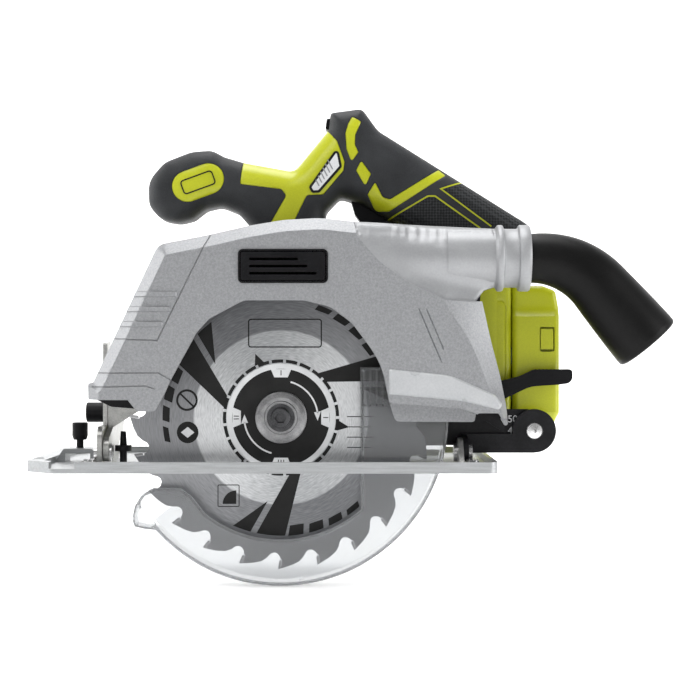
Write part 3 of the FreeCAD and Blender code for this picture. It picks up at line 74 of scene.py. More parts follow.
BLADE = centre("blade")
ARBOR = (BLADE.x, BLADE.z)
BLADE_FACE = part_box("blade")[0].y / MM
GUARD_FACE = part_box("upper_guard")[0].y / MM
PLATE_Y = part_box("guard_backplate")[0].y / MM
HANDLE_LOW, HANDLE_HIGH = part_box("grip_left")[0].y / MM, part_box("grip_right")[1].y / MM
SOCKET_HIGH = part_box("housing_right")[1].y / MM
PACK_LOW, PACK_HIGH = (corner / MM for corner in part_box("battery_case"))
FLOOR_Z = CAD_BOX[0][2] / MM


# ---- materials
DRIFT_SHARE, GRAIN_SHARE = 0.55, 0.45
BUMP_REACH = 0.0004
DOT_SCATTER = 0.15
CUT_BAND = (0.0655, 0.0662)
WHITE = (1, 1, 1, 1)


def fill(tree, node, sockets):
    """Sets inputs of a node: each to a constant, or to the output that feeds it."""
    for key, value in sockets.items():
        if isinstance(value, bpy.types.NodeSocket):
            tree.links.new(value, node.inputs[key])
        else:
            node.inputs[key].default_value = value


def add(tree, kind, output, sockets, **settings):
    """One output of a new shader node, made with those settings and inputs."""
    made = tree.nodes.new("ShaderNode" + kind)
    for key, value in settings.items():
        setattr(made, key, value)
    fill(tree, made, sockets)
    return made.outputs[output]


def calc(tree, operation, *values):
    return add(tree, "Math", "Value", dict(enumerate(values)), operation=operation)


def two_tones(tree, source, low, high):
    """The colour between two (position, colour) ends."""
    made = tree.nodes.new("ShaderNodeValToRGB")
    for element, (position, colour) in zip(made.color_ramp.elements, (low, high)):
        element.position = position
        element.color = (*colour, 1)
    tree.links.new(source, made.inputs["Fac"])
    return made.outputs["Color"]


def new_material(name):
    made = bpy.data.materials.new(name)
    made.use_nodes = True
    return made, made.node_tree, made.node_tree.nodes["Principled BSDF"]


def surface(name, dark, light, rough=0.5, metal=0.0, patch=60.0, grain=1500.0, bump=0.1,
            stretch=(1, 1, 1), coat=0.0, spread=0.12, cells=None, specular=0.5):
    """A material whose colour drifts between two tones, with fine grain in its bump and gloss."""
    made, tree, shader = new_material(name)
    fill(tree, shader, {"Metallic": metal, "Coat Weight": coat, "Specular IOR Level": specular})
    place = add(tree, "TexCoord", "Object", {})
    scaled = add(tree, "Mapping", "Vector", {"Vector": place, "Scale": stretch})
    drift = add(tree, "TexNoise", "Fac", {"Vector": scaled, "Scale": patch, "Detail": 4})
    fine = add(tree, "TexNoise", "Fac", {"Vector": scaled, "Scale": grain, "Detail": 3})
    relief = fine
    if cells:
        dots = {"Vector": scaled, "Scale": cells, "Randomness": DOT_SCATTER}
        relief = add(tree, "TexVoronoi", "Distance", dots)
        tone_from = relief
    else:
        tone_from = calc(tree, "MULTIPLY_ADD", fine, GRAIN_SHARE, calc(tree, "MULTIPLY", drift, DRIFT_SHARE))
    gloss = {"Value": drift, "To Min": max(0.02, rough - spread), "To Max": min(1.0, rough + spread)}
    height = {"Strength": bump, "Distance": BUMP_REACH, "Height": relief}
    fill(tree, shader, {"Base Color": two_tones(tree, tone_from, (0.36, dark), (0.64, light)),
                        "Roughness": add(tree, "MapRange", "Result", gloss),
                        "Normal": add(tree, "Bump", "Normal", height)})
    return made


def blade_steel():
    """Ground steel: fine arcs about the arbor, a painted highlight in wide sectors about the arbor, and a
    darker band out at the toothed rim.
    """
    made, tree, shader = new_material("blade_steel")
    shader.inputs["Metallic"].default_value = 0.85
    middle = (ARBOR[0] * MM, 0, ARBOR[1] * MM)
    place = add(tree, "TexCoord", "Object", {})
    shifted = add(tree, "VectorMath", "Vector", {0: place, 1: middle}, operation="SUBTRACT")
    split = tree.nodes.new("ShaderNodeSeparateXYZ")
    tree.links.new(shifted, split.inputs["Vector"])
    angle = calc(tree, "ARCTAN2", split.outputs["Z"], split.outputs["X"])
    radius = add(tree, "VectorMath", "Value", {0: shifted}, operation="LENGTH")
    turned = calc(tree, "MULTIPLY", angle, 0.004)
    wound = add(tree, "CombineXYZ", "Vector", {"X": radius, "Y": turned})
    rings = add(tree, "TexNoise", "Fac", {"Vector": wound, "Scale": 2600, "Detail": 5})
    # painted highlight: broad bright and dark sectors about the arbor, painted into the steel's colour in
    # place of its radial reflection
    painted_sheen_sectors = calc(tree, "SINE", calc(tree, "MULTIPLY_ADD", angle, 2.0, 0.9))
    rings_and_painted_sheen = calc(tree, "MULTIPLY_ADD", painted_sheen_sectors, 0.22, rings)
    tones = two_tones(tree, rings_and_painted_sheen, (0.2, (0.34, 0.35, 0.36)), (0.8, (0.70, 0.71, 0.72)))
    # darker colour from the cut band out to the teeth
    band = {"Value": radius, "From Min": CUT_BAND[0], "From Max": CUT_BAND[1]}
    darker_rim_band = {"Factor": add(tree, "MapRange", "Result", band), "A": tones, "B": (0.42, 0.42, 0.43, 1)}
    gloss = {"Value": rings, "To Min": 0.26, "To Max": 0.46}
    height = {"Strength": 0.12, "Distance": 0.0002, "Height": rings}
    fill(tree, shader, {"Base Color": add(tree, "Mix", "Result", darker_rim_band, data_type="RGBA",
                                          blend_type="MULTIPLY"),
                        "Roughness": add(tree, "MapRange", "Result", gloss),
                        "Normal": add(tree, "Bump", "Normal", height)})
    return made


def clear_plastic():
    """Polycarbonate: clear with a grey cast, with painted shade where it is seen edge on, in place of the
    dark edges that refraction and reflection give.
    """
    made = surface("clear_guard", (0.93, 0.95, 0.96), (1.0, 1.0, 1.0), rough=0.06, patch=40, grain=200,
                   bump=0.04, spread=0.03)
    tree = made.node_tree
    painted_edge_shade_share = add(tree, "LayerWeight", "Facing", {"Blend": 0.35})
    # painted shade: the colour darkens towards a glancing view, drawing dark outlines at the guard's edges
    tones = two_tones(tree, painted_edge_shade_share, (0.15, (0.66, 0.67, 0.68)), (0.95, (0.14, 0.15, 0.16)))
    fill(tree, tree.nodes["Principled BSDF"], {"Transmission Weight": 0.90, "IOR": 1.38, "Base Color": tones})
    return made


LIME = surface("lime_plastic", (0.43, 0.46, 0.010), (0.53, 0.56, 0.014), rough=0.34, patch=25, grain=1400,
               bump=0.06)
RUBBER = surface("grip_rubber", (0.020, 0.021, 0.023), (0.036, 0.038, 0.041), grain=2600, bump=0.35,
                 specular=0.22)
DOTTED = surface("grip_rubber_dotted", (0.008, 0.009, 0.010), (0.036, 0.038, 0.040), grain=900, bump=0.9,
                 cells=620, specular=0.22)
BLACK = surface("black_plastic", (0.003, 0.003, 0.004), (0.008, 0.008, 0.009), rough=0.4, patch=50,
                grain=1800, bump=0.15, specular=0.16)
ELBOW = surface("elbow_rubber", (0.003, 0.003, 0.003), (0.007, 0.007, 0.007), rough=0.42, patch=35,
                grain=1600, specular=0.14)
CAST = surface("silver_cast", (0.235, 0.24, 0.25), (0.335, 0.34, 0.35), rough=0.42, metal=0.4, patch=900,
               grain=2600, bump=0.3)
DUCT = surface("silver_duct", (0.31, 0.315, 0.325), (0.36, 0.365, 0.375), rough=0.45, metal=0.35, patch=50,
               grain=900, bump=0.03, spread=0.05)
SHEET = surface("aluminium_sheet", (0.33, 0.34, 0.345), (0.46, 0.47, 0.48), rough=0.38, metal=0.75,
                grain=900, bump=0.12, stretch=(1, 14, 14))
ZINC = surface("zinc_steel", (0.34, 0.34, 0.33), (0.55, 0.55, 0.53), rough=0.34, metal=0.9, patch=180)
BRIGHT = surface("bright_steel", (0.60, 0.60, 0.60), (0.80, 0.80, 0.80), rough=0.24, metal=0.95, patch=120,
                 bump=0.08)
DARK_STEEL = surface("black_steel", (0.006, 0.006, 0.007), (0.014, 0.014, 0.016), rough=0.38, metal=0.2,
                     patch=70, bump=0.12, specular=0.22)
CASE = surface("case_cast", (0.30, 0.31, 0.32), (0.46, 0.47, 0.48), metal=0.7, patch=220, grain=1300,
               bump=0.35)
CARBIDE = surface("carbide", (0.30, 0.30, 0.31), (0.42, 0.42, 0.43), rough=0.3, metal=0.8, patch=300,
                  grain=2000)
COPPER = surface("copper", (0.45, 0.20, 0.08), (0.70, 0.36, 0.16), rough=0.3, metal=1.0, patch=300)
MAGNET = surface("magnet", (0.03, 0.03, 0.035), (0.07, 0.07, 0.075), metal=0.4, patch=200, bump=0.2)
WRAP = surface("cell_wrap", (0.02, 0.10, 0.22), (0.04, 0.16, 0.30), rough=0.25, patch=80, grain=800,
               bump=0.03)
PRINT_BLACK = surface("print_black", (0.006, 0.006, 0.006), (0.014, 0.014, 0.014), patch=90, grain=2500,
                      bump=0.05, specular=0.22)
PRINT_LIGHT = surface("print_light", (0.60, 0.61, 0.62), (0.74, 0.75, 0.76), rough=0.45, metal=0.3, patch=90,
                      grain=2500, bump=0.05)
PLATE_WHITE = surface("white_inset", (0.66, 0.67, 0.68), (0.80, 0.81, 0.82), rough=0.4, bump=0.05)
GREY_RIB = surface("grey_plastic", (0.22, 0.23, 0.24), (0.32, 0.33, 0.34), rough=0.45, bump=0.08)
GUNMETAL = surface("gunmetal", (0.045, 0.046, 0.048), (0.10, 0.10, 0.105), rough=0.34, metal=0.8, patch=200,
                   grain=1800)
FLANGE = surface("flange_steel", (0.22, 0.22, 0.225), (0.36, 0.36, 0.365), rough=0.34, metal=0.85, patch=300,
                 bump=0.12)
FROSTED = surface("frosted_apron", (0.42, 0.43, 0.445), (0.50, 0.51, 0.52), rough=0.3, metal=0.1, grain=900,
                  bump=0.06, coat=0.3)
STEEL = blade_steel()
CLEAR = clear_plastic()

SLOT_LOOK = {
    "aluminium_sheet": SHEET, "zinc_steel": ZINC, "black_steel": DARK_STEEL, "silver_cast": CAST,
    "case_cast": CASE, "blade_steel": STEEL, "carbide": CARBIDE, "clear_guard": CLEAR, "lime_plastic": LIME,
    "black_plastic": BLACK,
    "grey_plastic": GREY_RIB, "grip_rubber": RUBBER, "elbow_rubber": ELBOW, "bright_steel": BRIGHT,
    "magnet": MAGNET, "copper": COPPER, "cell_wrap": WRAP,
}


# ---- outlines
def rounded(points, step=1.6, closed=True):
    """An outline as evenly spaced points, with its corners rounded."""
    flat = [Vector(p[:2]) for p in points]
    count = len(flat)
    ends = []
    for i, here in enumerate(flat):
        radius = points[i][2] if len(points[i]) > 2 else 0.0
        if not radius or (not closed and i in (0, count - 1)):
            ends.append([here])
            continue
        back = (flat[i - 1] - here).normalized()
        on = (flat[(i + 1) % count] - here).normalized()
        half = back.angle(on) / 2
        reach = radius / math.tan(half)
        middle = here + (back + on).normalized() * (radius / math.sin(half))
        start, stop = here + back * reach, here + on * reach
        first = math.atan2(start.y - middle.y, start.x - middle.x)
        swing = math.atan2(stop.y - middle.y, stop.x - middle.x) - first
        swing = (swing + math.pi) % (2 * math.pi) - math.pi
        parts = max(3, math.ceil(abs(swing) * radius / step))
        ends.append([middle + Vector((math.cos(a), math.sin(a))) * radius
                     for a in (first + swing * k / parts for k in range(parts + 1))])
    made = []
    for i, arc in enumerate(ends):
        made += arc
        if not closed and i == count - 1:
            break
        last, following = arc[-1], ends[(i + 1) % count][0]
        parts = math.ceil((following - last).length / step)
        made += [last.lerp(following, k / parts) for k in range(1, parts)]
    kept = [made[0]]
    for p in made[1:]:
        if (p - kept[-1]).length > 0.05:
            kept.append(p)
    if closed and (kept[-1] - kept[0]).length < 0.05:
        kept.pop()
    return np.array([(p.x, p.y) for p in kept])


def polar(radius, degrees, middle=ARBOR):
    angle = math.radians(degrees)
    return (middle[0] + radius * math.cos(angle), middle[1] + radius * math.sin(angle))


def arc(radius, first, last, middle=ARBOR, step=1.6):
    parts = max(2, math.ceil(abs(math.radians(last - first)) * radius / step))
    return [polar(radius, first + (last - first) * k / parts, middle) for k in range(parts + 1)]


def oblong(x0, z0, x1, z1, *radius):
    """Corners of an upright rectangle, each with the corner radius if one is given."""
    return [(x0, z0, *radius), (x1, z0, *radius), (x1, z1, *radius), (x0, z1, *radius)]


def strip(points, width):
    """A band of that width along a polyline, as a closed outline."""
    flat = [Vector(p[:2]) for p in points]
    left, right = [], []
    for i, here in enumerate(flat):
        ends = ([(flat[i - 1], here)] if i else []) + ([(here, flat[i + 1])] if i + 1 < len(flat) else [])
        along = [(stop - start).normalized() for start, stop in ends]
        sides = [Vector((-d.y, d.x)) for d in along]
        mitre = sum(sides[1:], sides[0]).normalized()
        offset = mitre * (width / 2 / max(0.5, mitre.dot(sides[0])))
        left.append(tuple(here + offset))
        right.append(tuple(here - offset))
    return rounded(left + right[::-1], 1.2)


def distance(points, lines):
    """Least distance of each point to any segment of the polylines, given as (points, closed)."""
    starts, stops = [], []
    for line, closed in lines:
        line = np.asarray(line, float)
        following = np.roll(line, -1, axis=0)
        count = len(line) if closed else len(line) - 1
        starts.append(line[:count])
        stops.append(following[:count])
    a, b = np.concatenate(starts), np.concatenate(stops)
    span = b - a
    long = np.maximum((span ** 2).sum(1), 1e-12)
    best = np.empty(len(points))
    for first in range(0, len(points), 1500):
        p = points[first:first + 1500, None, :]
        share = np.clip(((p - a) * span).sum(2) / long, 0, 1)
        gap = p - (a + share[..., None] * span)
        best[first:first + 1500] = np.sqrt((gap ** 2).sum(2).min(1))
    return best


def within(points, loop):
    """Whether each point is inside a closed outline."""
    loop = np.asarray(loop, float)
    x, z = points[:, :1], points[:, 1:]
    x0, z0 = loop[:, 0], loop[:, 1]
    x1, z1 = np.roll(x0, -1), np.roll(z0, -1)
    crosses = (z0 > z) != (z1 > z)
    rise = np.where(np.abs(z1 - z0) < 1e-12, 1e-12, z1 - z0)
    hits = crosses & (x < (x1 - x0) * (z - z0) / rise + x0)
    return hits.sum(1) % 2 == 1


def inside(points, loops):
    """Whether each point is inside the first outline and in none of the others."""
    found = within(points, loops[0])
    for hole in loops[1:]:
        found &= ~within(points, hole)
    return found


def filled(loops, marks=(), extra=(), precision=1e-6):
    """Triangles inside the first outline and outside the rest. marks become edges, extra points."""
    verts, edges = [], []
    for loop in [*loops, *marks]:
        first = len(verts)
        verts += [Vector(p) for p in loop]
        edges += [(first + k, first + (k + 1) % len(loop)) for k in range(len(loop))]
    verts += [Vector(p) for p in extra]
    out, unused_edges, faces, *unused = delaunay_2d_cdt(verts, edges, [], 0, precision)
    points = np.array([(p.x, p.y) for p in out])
    faces = np.array([f for f in faces if len(f) == 3])
    return points, faces[inside(points[faces].mean(1), loops)]


def offset_loop(loop, amount):
    """Points of a closed outline moved sideways. They may cross at tight corners."""
    loop = np.asarray(loop, float)
    along = np.roll(loop, -1, axis=0) - np.roll(loop, 1, axis=0)
    along /= np.maximum(np.linalg.norm(along, axis=1, keepdims=True), 1e-9)
    return loop + np.stack([-along[:, 1], along[:, 0]], 1) * amount


# extra points stand at these shares of the edge width behind a rim, and this far beside a line
RING_SHARES = (0.03, 0.1, 0.2, 0.34, 0.52, 0.74, 1.0)
LINE_GAPS = (0.3, 1.0)


def triangulate(outline, holes=(), lines=(), edge=8.0, spacing=2.6, guides=()):
    """Even triangles over an outline, denser towards its rim and along the given loops.

    guides are open lines of points that the triangles keep to, such as a crease."""
    loops = [np.asarray(outline)] + [np.asarray(h) for h in holes]
    rims = [(loop, True) for loop in loops]
    marks = [(np.asarray(line), True) for line in lines]
    extra = []
    for loop in loops:
        for share in RING_SHARES:
            for sign in (-1, 1):
                ring = offset_loop(loop, sign * share * edge)
                keep = distance(ring, rims) > 0.97 * share * edge
                extra.append(ring[keep])
    for line, unused_closed in marks:
        for gap in LINE_GAPS:
            for sign in (-1, 1):
                ring = offset_loop(line, sign * gap)
                near = distance(ring, [(line, True)]) > 0.9 * gap
                extra.append(ring[near])
    low, high = loops[0].min(0), loops[0].max(0)
    columns = np.arange(low[0], high[0], spacing)
    rows = np.arange(low[1], high[1], spacing * 0.87)
    grid = np.array([(x + (k % 2) * spacing / 2, z) for k, z in enumerate(rows) for x in columns])
    gap = distance(grid, rims)
    keep = gap > edge * 1.05
    if marks:
        keep &= distance(grid, marks) > 1.2
    extra.append(grid[keep])
    if guides:
        clear = distance(extra[-1], [(line, False) for line in guides]) > 1.2
        extra[-1] = extra[-1][clear]
        extra += [np.asarray(line) for line in guides]
    extra = np.concatenate(extra)
    extra = extra[inside(extra, loops) & (distance(extra, rims) > 0.02 * edge)]
    cell = np.round(extra / 0.12).astype(int)
    extra = extra[np.unique(cell, axis=0, return_index=True)[1]]
    if marks:
        extra = extra[distance(extra, marks) > 0.12]
    points, faces = filled(loops, [line for line, closed in marks], extra, 1e-5)
    return points, faces, distance(points, rims)


def relaxed(values, faces, fixed, rounds):
    """Heights smoothed along the triangles' edges, except where fixed."""
    pairs = np.concatenate([faces[:, [0, 1]], faces[:, [1, 2]], faces[:, [2, 0]]])
    pairs = np.concatenate([pairs, pairs[:, ::-1]])
    count = np.maximum(np.bincount(pairs[:, 0], minlength=len(values)), 1)
    for turn in range(rounds):
        mean = np.bincount(pairs[:, 0], weights=values[pairs[:, 1]], minlength=len(values)) / count
        values = np.where(fixed, values, 0.4 * values + 0.6 * mean)
    return values


def dome(gap, radius):
    """How far a rounded edge falls back from its face at a distance from the rim."""
    share = np.clip(gap / radius, 0, 1)
    return radius * (1 - np.sqrt(np.maximum(0, 1 - (1 - share) ** 2)))


def make_object(name, verts, faces, material, body, sharp=32.0):
    """A mesh from millimetre points, riding on a body."""
    mesh = bpy.data.meshes.new(name)
    mesh.from_pydata([tuple(np.asarray(v) * MM) for v in verts], [],
                     [tuple(int(i) for i in f) for f in faces])
    mesh.validate()
    mesh.materials.append(material)
    mesh.shade_smooth()
    mesh.set_sharp_from_angle(angle=math.radians(sharp))
    made = bpy.data.objects.new(name, mesh)
    bpy.context.scene.collection.objects.link(made)
    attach(made, body)
    return made


def face_piece(name, points, faces, depth, y_face, side, wall_to, material, body, rim_test=None,
               lip=1.2, sharp=32.0):
    """A surface over triangles, facing -Y (side -1) or +Y (side 1), with walls from its edges.

    depth is how far each point lies behind the face. Edges that rim_test accepts get a wall
    to wall_to; the others get a short lip, which closes the joint between two pieces."""
    used, faces = np.unique(faces, return_inverse=True)
    faces = faces.reshape(-1, 3)
    flat, back = points[used], depth[used]
    y = y_face - side * back
    verts = [(x, yy, z) for (x, z), yy in zip(flat, y)]
    if side > 0:
        faces = faces[:, ::-1]
    area = np.cross(flat[faces[:, 1]] - flat[faces[:, 0]], flat[faces[:, 2]] - flat[faces[:, 0]])
    turned = area < 0 if side < 0 else area > 0
    faces = np.where(turned[:, None], faces[:, ::-1], faces)
    counts = {}
    for a, b, c in faces:
        for pair in ((a, b), (b, c), (c, a)):
            counts[pair] = counts.get(pair, 0) + 1
    border = [pair for pair in counts if (pair[1], pair[0]) not in counts]
    all_faces = [tuple(f) for f in faces]
    rim = rim_test(flat) if rim_test is not None else np.zeros(len(flat), bool)
    twin = {}
    for a, b in border:
        is_rim = rim[a] and rim[b]
        for k in (a, b):
            if (k, is_rim) not in twin:
                twin[(k, is_rim)] = len(verts)
                target = wall_to if is_rim else verts[k][1] - side * lip
                verts.append((verts[k][0], target, verts[k][2]))
        all_faces.append((b, a, twin[(a, is_rim)], twin[(b, is_rim)]))
    return make_object(name, verts, all_faces, material, body, sharp)


def flat_piece(name, outline, y_low, y_high, material, body, holes=(), bevel=0.3):
    """A flat plate between two depths, its rim softened with a bevel."""
    points, faces = filled([np.asarray(outline)] + [np.asarray(h) for h in holes])
    made = face_piece(name, points, faces, np.zeros(len(points)), y_low, -1, y_high, material, body,
                      rim_test=lambda flat: np.ones(len(flat), bool))
    if bevel:
        soft = made.modifiers.new("soft_edges", "BEVEL")
        soft.width = bevel * MM
        soft.segments = 2
        soft.limit_method = "ANGLE"
    return made


# ---- handle and body shells
HANDLE = [(-66.4, 147.0, 10), (-66.6, 161.0, 14), (-57.5, 171.6, 14), (-42.0, 177.6, 20), (-30.5, 178.4, 10),
          (-23.6, 174.6, 10), (-12.8, 171.4, 8), (16.0, 166.2, 6), (35.6, 190.0, 4),
          (36.6, 199.6, 2), (54.5, 202.0, 4), (63.5, 189.5, 12), (151.5, 134.5, 8), (146.0, 112.0, 6),
          (138.4, 104.2, 2),
          (138.4, 14.8, 4), (84.0, 14.8, 6), (62.0, 22.0, 8), (32.3, 19.8, 24), (0.6, 52.0, 20),
          (-1.5, 118.0, 10),
          (-8.0, 134.0, 10), (-15.5, 142.6, 8), (-25.5, 146.6, 10), (-34.0, 144.6, 8), (-41.0, 139.0, 8),
          (-49.0, 137.0, 12), (-59.0, 138.6, 12)]
OPENING = [(34.0, 97.0, 5), (34.0, 143.0, 5), (42.0, 151.5, 4), (54.0, 147.8, 4), (113.0, 112.0, 5),
           (107.0, 106.6, 2), (74.0, 106.6, 4), (69.0, 97.0, 5)]
FRONT_RUBBER = [(-80, 130), (-80, 190), (-13.5, 190), (-12.6, 171.0), (-14.1, 158.4, 1), (9.0, 155.6, 2),
                (11.8, 152.0, 2), (3.0, 136.6), (-5, 122), (-5, 100), (-30, 100)]
BACK_RUBBER = [(33.2, 204), (35.2, 188.6), (40.3, 182.8), (44.6, 171.0, 3), (44.0, 166.0, 2),
               (32.6, 152.6, 2), (23.4, 152.2, 2),
               (14.6, 134.0), (30, 100), (60, 100), (100, 106), (139, 106), (160, 106), (160, 150), (60, 210)]
HANDLE_ROUND = 11.0
STADIUM_AT, STADIUM_LONG, STADIUM_WIDE, STADIUM_TILT = (-37.7, 159.3), 30.0, 17.4, 20.0
CURVED_TRIM = [(48.8, 196.6, 1), (54.0, 193.6, 1), (50.6, 186.0, 3), (50.4, 180.5, 3), (52.4, 176.2, 1),
               (48.4, 170.8, 1), (45.6, 178.0, 3), (45.0, 187.0, 3), (46.6, 192.4, 2)]
SLANTED_TRIM = [(53.8, 171.9, 1), (59.4, 164.1, 1), (56.2, 157.0, 1), (51.0, 166.0, 1)]
LONG_TRIM = [(61.7, 159.6, 0.6), (66.0, 151.0, 3), (70.0, 149.8, 2), (97.6, 166.8, 0.6), (101.6, 163.6, 0.6),
             (69.5, 142.9, 4), (62.0, 143.3, 4), (57.4, 152.6, 0.6)]
LOWER_ZONE = [(61.0, 133.8, 1), (91.4, 151.7, 3), (95.3, 151.7, 3), (121.0, 133.5, 1)]
TAIL_ZONE = [(111.0, 160.0, 1), (98.6, 155.7, 2), (127.0, 134.6, 1), (147.0, 131.0, 4), (143.0, 140.5, 4)]
VENT = [(39.3, 176.6, 1.4), (25.0, 156.6, 1.4), (26.6, 153.9, 1.2), (30.2, 154.0, 1.5), (42.6, 168.2, 1.4),
        (41.0, 176.2, 1.6)]


def stadium(at, long, wide, tilt, step=1.2):
    """A slot-shaped outline, long along its tilt."""
    half = (long - wide) / 2
    turn = math.radians(tilt)
    ends = [(at[0] + s * half * math.cos(turn), at[1] + s * half * math.sin(turn)) for s in (1, -1)]
    return arc(wide / 2, tilt - 90, tilt + 90, ends[0], step) + arc(wide / 2, tilt + 90, tilt + 270, ends[1],
                                                                    step)


def clean(loop):
    """The outline without doubled points."""
    kept = [loop[0]]
    for p in loop[1:]:
        if math.dist(p, kept[-1]) > 0.05:
            kept.append(p)
    if math.dist(kept[0], kept[-1]) < 0.05:
        kept.pop()
    return np.array(kept)


def handle_half(side):
    """One half of the handle: hard shell, soft skin and the coloured trims that show through it."""
    name = "left" if side < 0 else "right"
    outline, hole = rounded(HANDLE, 1.8), rounded(OPENING, 1.8)
    inset = clean(stadium(STADIUM_AT, STADIUM_LONG, STADIUM_WIDE, STADIUM_TILT))
    trims = [inset] + [rounded(loop, 1.4) for loop in (CURVED_TRIM, SLANTED_TRIM, LONG_TRIM)]
    seams = [strip([*rounded(LOWER_ZONE[:3], 1.6, closed=False), LOWER_ZONE[3][:2]], 0.9),
             strip([p[:2] for p in TAIL_ZONE[:3]], 0.9)]
    skins = [rounded(loop, 1.8) for loop in (FRONT_RUBBER, BACK_RUBBER)]
    dotted = [rounded(loop, 1.8) for loop in (LOWER_ZONE, TAIL_ZONE)]
    lines = [*skins, *trims, *seams, *dotted]
    points, faces, gap = triangulate(outline, [hole], lines, HANDLE_ROUND, 3.0)
    middles = points[faces].mean(1)
    in_skin = within(middles, skins[0]) | within(middles, skins[1])
    in_trim = np.zeros(len(faces), bool)
    for loop in trims + seams:
        in_trim |= within(middles, loop)
    in_dots = within(middles, dotted[0]) | within(middles, dotted[1])
    y_face = HANDLE_LOW if side < 0 else HANDLE_HIGH
    fall = dome(gap, HANDLE_ROUND)
    step = distance(points, [(loop, True) for loop in trims + skins])
    groove = 0.45 * np.clip(1 - step / 0.4, 0, 1) * np.clip(gap / 2, 0, 1)

    def at_rim(flat):
        return distance(flat, [(outline, True), (hole, True)]) < 0.02

    skin_zone = in_skin & ~in_trim
    shell, skin, unused_dots = [
        face_piece(f"{label}_{name}", points, faces[zone], fall + groove + sunk, y_face, side, 0.0, material,
                   "saw_head", at_rim)
        for label, zone, sunk, material, slot in (
            ("housing_shell", ~skin_zone, 0.25, LIME, "lime_plastic"),
            ("grip_skin", skin_zone & ~in_dots, 0.0, RUBBER, "grip_rubber"),
            ("grip_dots", skin_zone & in_dots, 0.1, DOTTED, "grip_rubber"))]
    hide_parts(f"housing_{name}")
    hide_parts(f"grip_{name}")


def on_handle(loop, side, lift):
    """Depth at which a flat detail sits on the handle's face, for each of its points."""
    outline, hole = rounded(HANDLE, 1.8), rounded(OPENING, 1.8)
    gap = distance(np.asarray(loop), [(outline, True), (hole, True)])
    y_face = HANDLE_LOW if side < 0 else HANDLE_HIGH
    return y_face - side * (dome(gap, HANDLE_ROUND) - lift)


def draped(name, outline, side, lift, material, holes=()):
    """A thin plate that follows the handle's rounded face."""
    points, faces, gap = triangulate(outline, holes, [], 1.0, 1.6)
    y = on_handle(points, side, lift)
    y_face = HANDLE_LOW if side < 0 else HANDLE_HIGH
    depth = (y_face - y) * side
    return face_piece(name, points, faces, depth, y_face, side, 0.0, material, "saw_head", lip=0.8)


def handle_details(side):
    """Light vent window with its bars, and the outlined plate of the front grip."""
    name = "left" if side < 0 else "right"
    vent = rounded(VENT, 1.0)
    draped(f"vent_frame_{name}", offset_loop(vent, -0.5), side, 0.15, PRINT_BLACK)
    inset = draped(f"vent_inset_{name}", offset_loop(vent, 0.9), side, 0.4, PLATE_WHITE)
    if side < 0:
        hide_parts("side_vent")
    for k in range(6):
        x, z = 29.4 + 1.42 * k, 159.0 + 2.05 * k
        reach = 2.0 + 0.22 * k
        bar = strip([(x - 0.45 * reach, z + 0.85 * reach), (x + 0.45 * reach, z - 0.85 * reach)], 0.7)
        draped(f"vent_bar_{name}_{k}", bar, side, 0.62, GREY_RIB)
    turn = math.radians(STADIUM_TILT)
    along, up = Vector((math.cos(turn), math.sin(turn))), Vector((-math.sin(turn), math.cos(turn)))
    at = Vector(STADIUM_AT)
    plate = [at + along * (sx * 9.6) + up * (sz * 4.2) for sx, sz in ((-1, -1), (1, -1), (1, 1), (-1, 1))]
    ring = rounded([(p.x, p.y, 2.0) for p in plate], 0.8)
    draped(f"plate_frame_{name}", ring, side, 0.1, PRINT_BLACK, holes=[offset_loop(ring, 0.7)])


def block(name, outline, y_low, y_high, radius, material, body, nodes=(), lines=(), shape=None,
          spacing=3.2):
    """A solid with rounded edges: two faces that meet at its middle."""
    loop = rounded(outline, 1.8)
    loops = [rounded(line, 1.2) for line in lines]
    points, faces, gap = triangulate(loop, [], loops, radius, spacing)
    middle = (y_low + y_high) / 2
    fall = dome(gap, radius)
    pieces = []
    for side, y_face in ((-1, y_low), (1, y_high)):
        extra = shape(points) if shape else 0.0
        pieces.append(face_piece(f"{name}_{'near' if side < 0 else 'far'}", points, faces, fall + extra,
                                 y_face, side, middle,
                                 material, body, lambda flat: distance(flat, [(loop, True)]) < 0.02))
    if nodes:
        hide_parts(*nodes)
    return pieces


LATCH_POCKET = 4.4
CHEEK_LOW, CHEEK_HIGH = 15.5, 17.5


def battery():
    """Battery pack with stepped cheeks, chamfered above and below."""
    x1, split = PACK_HIGH.x, 138.8
    low, high = PACK_LOW.z, PACK_HIGH.z
    outline = [(split, low + 1.0, 1.5), (152.0, low + 0.2, 3), (160.0, low + 3.5, 3),
               (x1 - 0.2, low + 15, 4), (x1 - 0.2, high - 13, 3),
               (163.4, high - 3, 3), (156.0, high - 0.2, 2), (split, high - 0.2, 1.5)]
    cheek = oblong(split - 2, low + CHEEK_LOW, x1 + 3, high - CHEEK_HIGH)
    recess = oblong(154.4, 64.6, 162.4, 78.2, 1)

    def shape(points):
        inside_cheek = within(points, rounded(cheek, 2))
        edge = distance(points, [(np.array(cheek), True)])
        cut = np.where(within(points, rounded(recess, 1)), LATCH_POCKET, 0.0)
        return np.where(inside_cheek, 0.0, np.clip(edge * 0.8, 0, 3.0)) + cut

    clipped = oblong(split + 0.1, low + CHEEK_LOW, x1 - 0.5, high - CHEEK_HIGH)
    block("battery_body", outline, PACK_LOW.y, PACK_HIGH.y, 3.2, LIME, "battery",
          ["battery_case"], [clipped, recess], shape, 2.6)


def battery_socket():
    """The part of the body that the battery slides onto."""
    outline = [(76.2, 14.9, 5), (138.3, 14.9, 1.2), (138.3, 104.0, 1.2), (76.2, 104.0, 7)]
    panel = oblong(96, 24, 134.6, 93, 3)

    def shape(points):
        return np.clip(0.5 - distance(points, [(rounded(panel, 1.5), True)]), 0, 0.5)

    block("battery_socket", outline, HANDLE_LOW + 0.6, SOCKET_HIGH, 3.5, LIME, "saw_head",
          (), [panel], shape, 3.2)


